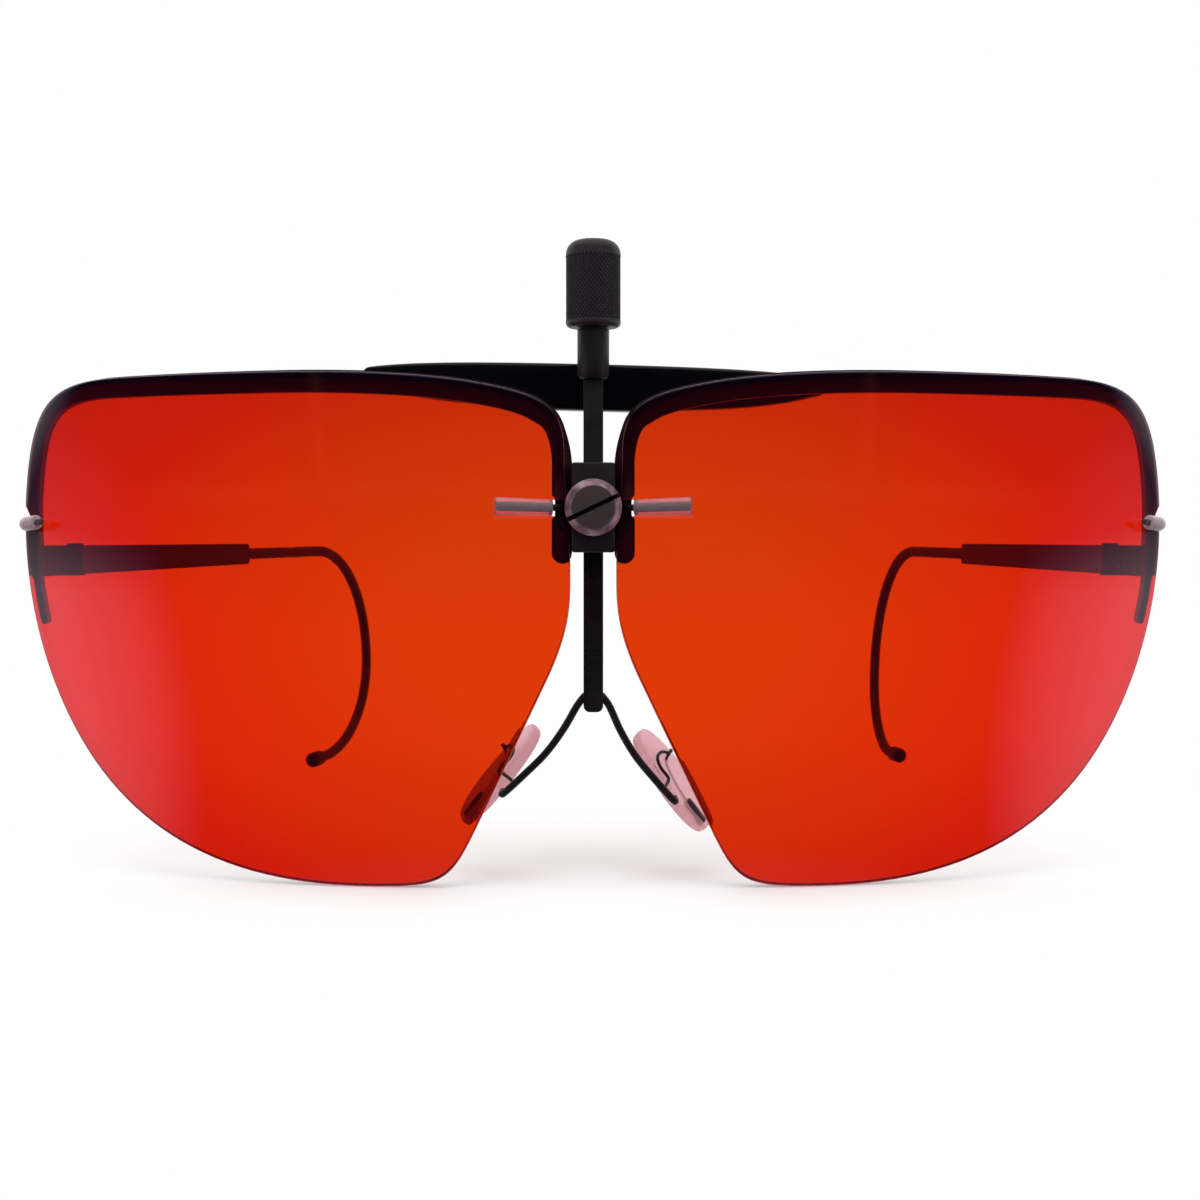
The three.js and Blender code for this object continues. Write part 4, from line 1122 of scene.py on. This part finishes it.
# %% Knob and ferrule
knob_black, tree, shader = new_finish("knurled_black", {"Specular IOR Level": 0.35})
reach = distance(tree, (0, knob_y, 0), (1, 1, 0))
# The coat is darker in the knurl's grooves and lighter on its peaks, by distance from the knob's axis
groove_to_peak = spread(tree, reach, 0, 1, knob_radius - knurl_depth, knob_radius)
coat = shade(tree, groove_to_peak, (0.2, (0.016, 0.012, 0.0145)), (1, (0.03, 0.0225, 0.027)))
speckle = grain(tree, 0.15 * mm, 2)
fill(shader, {"Base Color": coat, "Roughness": spread(tree, speckle, 0.38, 0.55)})
roughen(tree, shader, speckle, 0.005 * mm)
make_piece("knurled_knob", knob, knob_black, crease=22)

ferrule_radius = (ferrule_high.x - ferrule_low.x) / 2
ferrule_taper = 0.25 * mm
ferrule_taper_height = 0.45 * mm
ferrule_round = 0.1 * mm
ferrule_profile = [
    (0, ferrule_low.z),
    (ferrule_radius - ferrule_taper, ferrule_low.z),
    (ferrule_radius, ferrule_low.z + ferrule_taper_height),
    (ferrule_radius, ferrule_high.z),
    (0, ferrule_high.z),
]
ferrule_place = Matrix.Translation((0, knob_y, 0))
make_piece("knob_ferrule", spun(ferrule_profile, ferrule_place, ferrule_round), black_metal)

# %% [markdown]
# ## Brow bar
# The brow bar is a glossy black moulding, nearly flat on top and bellied below, which bends back a little to
# follow the brow. It is lofted: a ring with the section of a rounded bar is extruded from station to station.
# At each station the ring is fitted between a point of the top curve and one of the bottom curve, and at the
# blunt ends both points run together round a half circle.

# %% Brow bar stations
brow_half = 29.9 * mm
brow_height = 5.95 * mm
brow_end_height = 2.7 * mm
brow_top_drop = 0.7 * mm
brow_thickness = 3 * mm
brow_plan_radius = 130 * mm
brow_tilt = math.radians(1.4)
brow_above_lens = 1.3 * mm
brow_front_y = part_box("brow_bar")[0].y
brow_steps = 30
section_power = 0.36
end_power = 0.4

half_height = brow_height / 2
end_radius = brow_end_height / 2
end_x = brow_half - end_radius
end_top = half_height - brow_top_drop
end_middle = Vector((end_x, end_top - end_radius))

# Middle, two handles and end of each curve: shares of the length and of half the height
top_curve = [(0, half_height), (0.5 * end_x, half_height), (0.8 * end_x, half_height), (end_x, end_top)]
bottom_curve = [
    (0, -half_height),
    (0.45 * end_x, -half_height),
    (0.75 * end_x, -0.85 * half_height),
    (end_x, end_top - brow_end_height),
]


def brow_stations():
    """Top and bottom point and share of the thickness at each station, from the middle to the right end."""
    top, bottom = (
        interpolate_bezier(*[Vector(point) for point in curve], brow_steps)
        for curve in (top_curve, bottom_curve)
    )
    stations = [(t, b, 1) for t, b in zip(top, bottom)]
    for angle in (15, 30, 45, 60, 72, 82, 88):
        over = heading(90 - angle) * end_radius
        under = Vector((over.x, -over.y))
        thickness = math.cos(math.radians(angle)) ** end_power
        stations.append((end_middle + over, end_middle + under, thickness))
    return stations


# %% Brow bar mesh
def signed_power(value, power):
    """Raises a coordinate to a power and keeps its sign, which squares a circle off."""
    return math.copysign(abs(value) ** power, value)


def bend_back(x):
    """How far the brow bar has bent back at some distance from its middle."""
    return brow_plan_radius - math.sqrt(brow_plan_radius**2 - x**2)


def neighbours(vert, ring):
    """Vertices of a ring that a new vertex was extruded from."""
    return [edge.other_vert(vert) for edge in vert.link_edges if edge.other_vert(vert) in ring]


def brow_bar(segments=48):
    """The lofted bar, tilted and set behind the upper edge of the lenses."""
    right = brow_stations()
    left = [(Vector((-t.x, t.y)), Vector((-b.x, b.y)), share) for t, b, share in right[:0:-1]]
    shape = bmesh.new()
    bmesh.ops.create_circle(shape, cap_ends=True, segments=segments, radius=1)
    ring = {vert: vert.co.copy() for vert in shape.verts}
    end = shape.faces[:]
    for i, (top, bottom, share) in enumerate(left + right):
        if i:
            grown = bmesh.ops.extrude_face_region(shape, geom=end)["geom"]
            end = faces_of(grown)
            ring = {vert: ring[before] for vert in verts_of(grown) for before in neighbours(vert, ring)}
        for vert, unit in ring.items():
            across = (top + bottom) / 2 + (top - bottom) / 2 * signed_power(unit.y, section_power)
            thickness = 1 + share * signed_power(unit.x, section_power)
            depth = brow_front_y + bend_back(across.x) + brow_thickness / 2 * thickness
            vert.co = (across.x, depth, across.y)
    bmesh.ops.rotate(shape, matrix=Matrix.Rotation(brow_tilt, 3, "Y"), verts=shape.verts)
    middle_z = lens_high.z + brow_above_lens - half_height
    bmesh.ops.translate(shape, vec=(0, 0, middle_z), verts=shape.verts)
    return shape


brow_black, tree, shader = new_finish(
    "brow_black", {"Base Color": (0.0012, 0.0014, 0.0016, 1), "Specular IOR Level": 0.3}
)
fill(shader, {"Roughness": spread(tree, grain(tree, 4 * mm, 4), 0.16, 0.28)})
make_piece("brow_bar", brow_bar(), brow_black)

# %% Brow studs
stud_low, stud_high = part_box("brow_stud_right")
stud_middle = (stud_low + stud_high) / 2
stud_radius = 0.6 * mm
stud_round = 0.08 * mm
collar_radius = (stud_high.x - stud_low.x) / 2
collar_front = stud_low.y + rim_thickness + 0.5 * mm
collar_back = brow_front_y + bend_back(stud_middle.x)
stud_profile = [
    (0, -stud_low.y),
    (stud_radius, -stud_low.y),
    (stud_radius, -collar_front),
    (collar_radius, -collar_front),
    (collar_radius, -collar_back),
    (stud_radius, -collar_back),
    (stud_radius, -stud_high.y),
    (0, -stud_high.y),
]
stud_place = Matrix.Translation((stud_middle.x, 0, stud_middle.z)) @ facing_front
make_pair("brow_stud", spun(stud_profile, stud_place, stud_round, 32), black_metal)

# %% [markdown]
# ## Hinges and ear cables
# Each temple turns on a small slotted screw. Behind the flat bar it goes on as a wound cable, which the
# wearer has bent round the ear. The winding is made as real ridges: the radius of the bar rises and falls
# with the distance along the path and the angle round it, so the ridges run in a screw.

# %% Hinge screws
joint_place = {joint["name"]: Vector(joint["pos_m"]) for joint in frame["joints"] if "pos_m" in joint}
hinge_low, hinge_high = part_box("hinge_screw_right")
hinge_head_radius = (hinge_high.x - hinge_low.x) / 2
hinge_head = 0.3 * mm
hinge_head_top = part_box("endpiece_right")[1].z + hinge_head
hinge_pin = 0.6 * mm
hinge_round = 0.1 * mm
hinge_slot = 0.35 * mm
hinge_slot_depth = 0.2 * mm
hinge_steel = satin_black("hinge_screw_black", (0.02, 0.017, 0.016), (0.035, 0.03, 0.028), 0.36)
hinge_profile = [
    (0, hinge_low.z - hinge_head_top),
    (hinge_pin, hinge_low.z - hinge_head_top),
    (hinge_pin, -hinge_head),
    (hinge_head_radius, -hinge_head),
    (hinge_head_radius, 0),
    (0, 0),
]
for side in sides:
    hinge = joint_place[f"{side}_temple_fold"]
    top = Matrix.Translation((hinge.x, hinge.y, hinge_head_top))
    cutter = slot_cutter(4 * hinge_head_radius, hinge_slot, hinge_slot_depth, top)
    hinge_screw = cut_away(spun(hinge_profile, top, hinge_round, 32), cutter)
    make_piece(f"hinge_screw_{side}", hinge_screw, hinge_steel)

# %% Ear cable path
temple_angle = {"left": 13.5, "right": 9}
bar_lane = 2.6 * mm
temple_length = 56.5 * mm
tip_radius = 1.4 * mm
level_end = 1.5 * mm
winding_pitch = 0.42 * mm
points_per_turn = 4
hooks = {
    "left": {"start": 88 * mm, "reach": 24.4 * mm, "back": 18 * mm, "turned_in": 22 * mm},
    "right": {"start": 82 * mm, "reach": 22.2 * mm, "back": 14 * mm, "turned_in": 9.5 * mm},
}

# Share of its tangent that a Bezier handle takes to follow a quarter of a circle
quarter_handle = 0.5523


def temple_frame(side):
    """The temple's own frame: the hinge, turned to the angle that the temple is set to."""
    turn = Matrix.Rotation(math.radians(sides[side] * temple_angle[side]), 4, "Z")
    return Matrix.Translation(joint_place[f"{side}_temple_fold"]) @ turn


def quarter_ellipse(start, end, corner, steps=80):
    """Points on the quarter of an ellipse between two points, whose tangents meet in a corner."""
    leaving = start.lerp(corner, quarter_handle)
    arriving = end.lerp(corner, quarter_handle)
    return interpolate_bezier(start, leaving, arriving, end, steps)


def evenly(points, step):
    """Points at even distances along a line of points."""
    even = [points[0]]
    carried = 0
    for start, end in zip(points, points[1:]):
        span = (end - start).length
        while span > 0 and carried + step <= span:
            carried += step
            even.append(start.lerp(end, carried / span))
        carried -= span
    return even


def cable_path(side):
    """Straight behind the temple bar, down behind the ear, and forwards to the tip."""
    hook = hooks[side]
    lane = sides[side] * bar_lane
    ground_z = -joint_place[f"{side}_temple_fold"].z
    back_y = hook["start"] + hook["reach"]
    end_y = back_y - hook["turned_in"]
    start = Vector((lane, temple_length + seat_gap, 0))
    bend = Vector((lane, hook["start"], 0))
    back = Vector((lane, back_y, ground_z + hook["back"]))
    low = Vector((lane, end_y, ground_z + tip_radius))
    tip = Vector((lane, end_y - level_end, ground_z + tip_radius))
    upper = quarter_ellipse(bend, back, Vector((lane, back_y, bend.z)))
    lower = quarter_ellipse(back, low, Vector((lane, back_y, low.z)))
    line = [start, *upper, *lower[1:], tip]
    return [temple_frame(side) @ point for point in evenly(line, winding_pitch / points_per_turn)]


# %% Ear cables
cable_radius = 0.95 * mm
cable_segments = 16
winding_depth = 0.05 * mm


def wound(path):
    """A bar whose surface rises and falls in a screw."""
    shape = bar_along(path, cable_radius, 0, cable_segments)
    frames = frames_along(path)
    shape.verts.ensure_lookup_table()
    for i, vert in enumerate(shape.verts):
        ring = i // cable_segments
        local = frames[ring].inverted() @ vert.co
        angle = math.atan2(local.y, local.x)
        wave = math.cos(2 * math.pi * ring / points_per_turn - angle)
        local.xy *= 1 - winding_depth / cable_radius * (1 - wave) / 2
        vert.co = frames[ring] @ local
    return shape


cable_coat = satin_black("wound_cable", (0.03, 0.022, 0.02), (0.055, 0.04, 0.036), 0.45)
for side in sides:
    make_piece(f"ear_cable_{side}", wound(cable_path(side)), cable_coat, crease=60)

# %% Cable tips
tip_length = 5 * mm
tip_round = 0.12 * mm
tip_black = satin_black("tip_plastic", (0.006, 0.006, 0.0065), (0.009, 0.009, 0.0095), 0.5)
tip_profile = [
    *quarter_round(0, tip_radius, tip_radius, -90, 8),
    (tip_radius, tip_length - tip_radius / 2),
    (cable_radius, tip_length),
    (0, tip_length),
]
lying = Matrix.Rotation(-math.pi / 2, 4, "X")
for side in sides:
    hook = hooks[side]
    tip_y = hook["start"] + hook["reach"] - hook["turned_in"] - level_end - seat_gap - tip_length
    tip_z = tip_radius - joint_place[f"{side}_temple_fold"].z
    tip_place = temple_frame(side) @ Matrix.Translation((sides[side] * bar_lane, tip_y, tip_z)) @ lying
    make_piece(f"cable_tip_{side}", spun(tip_profile, tip_place, tip_round, 32), tip_black)

# %% [markdown]
# ## Nose pads
# The pads are clear silicone, moulded round a small metal core, and rock on a pin at the end of a bent wire.
# A pad's frame follows from its pin: the record gives the pin's place, and the pad leans out below and opens
# towards the wearer. The pad itself is a sphere, stretched to an egg and squared off to an even thickness.

# %% Pad frames
pad_set = {"left": {"tilt": 39, "turn": 13}, "right": {"tilt": 36.5, "turn": 20}}
pad_pivot = Vector((2.05 * mm, 0, 3.2 * mm))


def mirrored_to(side):
    return Matrix.Diagonal((sides[side], 1, 1, 1))


def pad_frame(side):
    """The pad's own frame: X out of the pad, Y along its width, Z along its height."""
    tilted = Matrix.Rotation(-math.radians(pad_set[side]["tilt"]), 4, "Y")
    turned = Matrix.Rotation(-math.radians(pad_set[side]["turn"]), 4, "Z")
    pin = Matrix.Translation(mirrored_to(side) @ joint_place[f"{side}_pad_rock"])
    return mirrored_to(side) @ pin @ tilted @ turned @ Matrix.Translation(-pad_pivot)


# %% Pad mesh
pad_width = 8.4 * mm
pad_height = 15.2 * mm
pad_thickness = 2.2 * mm
pad_below = 6.4 * mm
pad_squareness = 0.45
pad_bluntness = 0.62


def pad_shape(side):
    """An egg-shaped cushion with flat faces and a round edge."""
    shape = bmesh.new()
    lying = Matrix.Rotation(math.pi / 2, 4, "Y")
    bmesh.ops.create_uvsphere(shape, u_segments=56, v_segments=28, radius=1, matrix=lying)
    for vert in shape.verts:
        reach = pad_below if vert.co.z < 0 else pad_height - pad_below
        vert.co = (
            signed_power(vert.co.x, pad_squareness) * pad_thickness / 2,
            signed_power(vert.co.y, pad_bluntness) * pad_width / 2,
            vert.co.z * reach + pad_below - pad_height / 2,
        )
    bmesh.ops.transform(shape, matrix=pad_frame(side), verts=shape.verts)
    return shape


# %% [markdown]
# Silicone is cloudy and takes a pink tone from the lenses: the pad's pink colour paints in that tinted light.
# Behind a lens, little of the light that it sends out gets back to the eye, so there the pad's colour is
# painted darker, a painted shade. A Light Path node counts the faces that the view has passed through: more
# than one means that a whole lens lies in front.

# %% Nose pads
# Painted shade: the darker colour a pad is given where it is seen through a lens
painted_shade_pink = (0.42, 0.25, 0.28, 1)
silicone, tree, shader = new_finish(
    "clear_silicone",
    {"IOR": 1.15, "Transmission Weight": 0.6, "Specular IOR Level": 0.3},
)
cloud = grain(tree, 3 * mm)
# The pink is light tinted by the lenses, painted into the colour
pink = shade(tree, cloud, (0.3, (0.98, 0.57, 0.62)), (0.7, (1, 0.62, 0.67)))
lens_faces = add_node(tree, "ShaderNodeLightPath").outputs["Transmission Depth"]
behind_lens = combine(tree, "GREATER_THAN", lens_faces, 1.5)
seen = blend(tree, behind_lens, pink, painted_shade_pink)
fill(shader, {"Base Color": seen, "Roughness": spread(tree, cloud, 0.32, 0.4)})
for side in sides:
    make_piece(f"nose_pad_{side}", pad_shape(side), silicone, crease=60)

# %% [markdown]
# Inside the pad, a core with a thin stalk leads to the pin, and a small box holds the pin. The pad arm comes
# down from the bar's foot, turns back beside the pad and curls round to the box as a thinner wire. All of
# these are smooth lines through a few points: those in the pad are measured in the pad's own frame.

# %% Smooth lines
def knotted(points, steps=8):
    """A smooth line through points, whose tangents follow the distances between them."""
    ends = [2 * points[0] - points[1], *points, 2 * points[-1] - points[-2]]
    line = [points[0]]
    for before, start, end, after in zip(ends, ends[1:], ends[2:], ends[3:]):
        first, span, last = (
            math.sqrt((b - a).length) for a, b in ((before, start), (start, end), (end, after))
        )
        leave = (start - before) / first - (end - before) / (first + span) + (end - start) / span
        arrive = (end - start) / span - (after - start) / (span + last) + (after - end) / last
        handles = (start + leave * span / 3, end - arrive * span / 3)
        line += interpolate_bezier(start, *handles, end, steps)[1:]
    return line


def joined(*shapes):
    """One bmesh from several."""
    whole = bmesh.new()
    for shape in shapes:
        mesh = mesh_from(shape, "joining")
        whole.from_mesh(mesh)
        bpy.data.meshes.remove(mesh)
    return whole


# %% Pad insert shape
core_radius = 0.7 * mm
core_bends = [Vector(point) * mm for point in ((0.7, -2.2, -2.9), (0.68, -2, -4.5), (0.4, -1.3, -6.5))]
core_round = 0.3 * mm
stalk_radius = 0.2 * mm
stalk_bends = [Vector(point) * mm for point in ((0.5, -2, -3), (0.3, -1, 0), (0.5, 0, 2.2), (2.05, 0, 3.2))]
thin_end_round = 0.1 * mm


def pad_insert(side):
    """A core in the pad's lower end, and a stalk from it to the pin."""
    core = bar_along(knotted(core_bends), core_radius, core_round)
    stalk = bar_along(knotted(stalk_bends), stalk_radius, thin_end_round, 12)
    insert = joined(core, stalk)
    bmesh.ops.transform(insert, matrix=pad_frame(side), verts=insert.verts)
    return insert


# %% Pad inserts, boxes and pins
insert_steel = satin_black("pad_insert_steel", (0.03, 0.022, 0.026), (0.06, 0.045, 0.05), 0.35)
box_share = 0.24
box_round = 0.1 * mm
pin_radius = 0.22 * mm
pin_half = 0.8 * mm
pin_head = 0.2 * mm
pin_head_radius = 0.3 * mm
pin_round = 0.06 * mm
pin_profile = [
    (0, pin_half),
    (pin_head_radius, pin_half),
    (pin_head_radius, pin_half - pin_head),
    (pin_radius, pin_half - pin_head),
    (pin_radius, -pin_half),
    (0, -pin_half),
]
for side in sides:
    make_piece(f"pad_insert_{side}", pad_insert(side), insert_steel)
    box = softened(f"pad_box_{side}", box_round, 3)
    about_pin = Matrix.Translation(-joint_place[f"{side}_pad_rock"])
    bmesh.ops.scale(box, vec=[box_share] * 3, space=about_pin, verts=box.verts)
    make_piece(f"pad_box_{side}", box, black_metal)
    pin_place = pad_frame(side) @ Matrix.Translation(pad_pivot) @ facing_front
    make_piece(f"pad_pin_{side}", spun(pin_profile, pin_place, pin_round, 24), insert_steel)

# %% Pad arms
arm_splay = {"left": 40, "right": 34.3}
arm_root = Vector((1.7 * mm, knob_y, 23.2 * mm))
arm_start = Vector((0.95 * mm, knob_y, 24.15 * mm))
arm_radius = 0.47 * mm
arm_round = 0.2 * mm
arm_bow = 0.85 * mm
arm_drop = 15.2 * mm
curl_radius = 0.22 * mm
curl_bends = [
    Vector(point) * mm
    for point in ((1.4, -4, 1), (1.4, -3.9, 2.8), (1.5, -3, 3.9), (1.8, -1.6, 4), (2.05, -0.4, 3.2))
]


def arm_paths(side):
    """Down from the bar's foot to the turn beside the pad, and from there back to the pad's hinge."""
    splayed = Matrix.Translation(arm_root) @ Matrix.Rotation(-math.radians(arm_splay[side]), 4, "Y")
    points = [
        splayed.inverted() @ arm_start,
        Vector((0, 0, -seat_gap)),
        Vector((-0.7 * arm_bow, 0, -arm_drop / 4)),
        Vector((-arm_bow, 0, -arm_drop / 2)),
        Vector((-0.6 * arm_bow, 0, -0.75 * arm_drop)),
        Vector((0, arm_radius, -arm_drop)),
        Vector((0.2 * arm_radius, 2.2 * arm_radius, -arm_drop + arm_radius)),
        Vector((-0.3 * arm_bow, 2.8 * arm_radius, -0.88 * arm_drop)),
    ]
    points = [mirrored_to(side) @ splayed @ point for point in points]
    curl = [pad_frame(side) @ point for point in curl_bends]
    return knotted(points[:-1]), knotted(points[-2:] + curl)


for side in sides:
    arm_path, curl_path = arm_paths(side)
    arm = bar_along(arm_path, arm_radius, arm_round, 16)
    curl = bar_along(curl_path, curl_radius, thin_end_round, 12)
    make_piece(f"pad_arm_{side}", joined(arm, curl), black_metal)
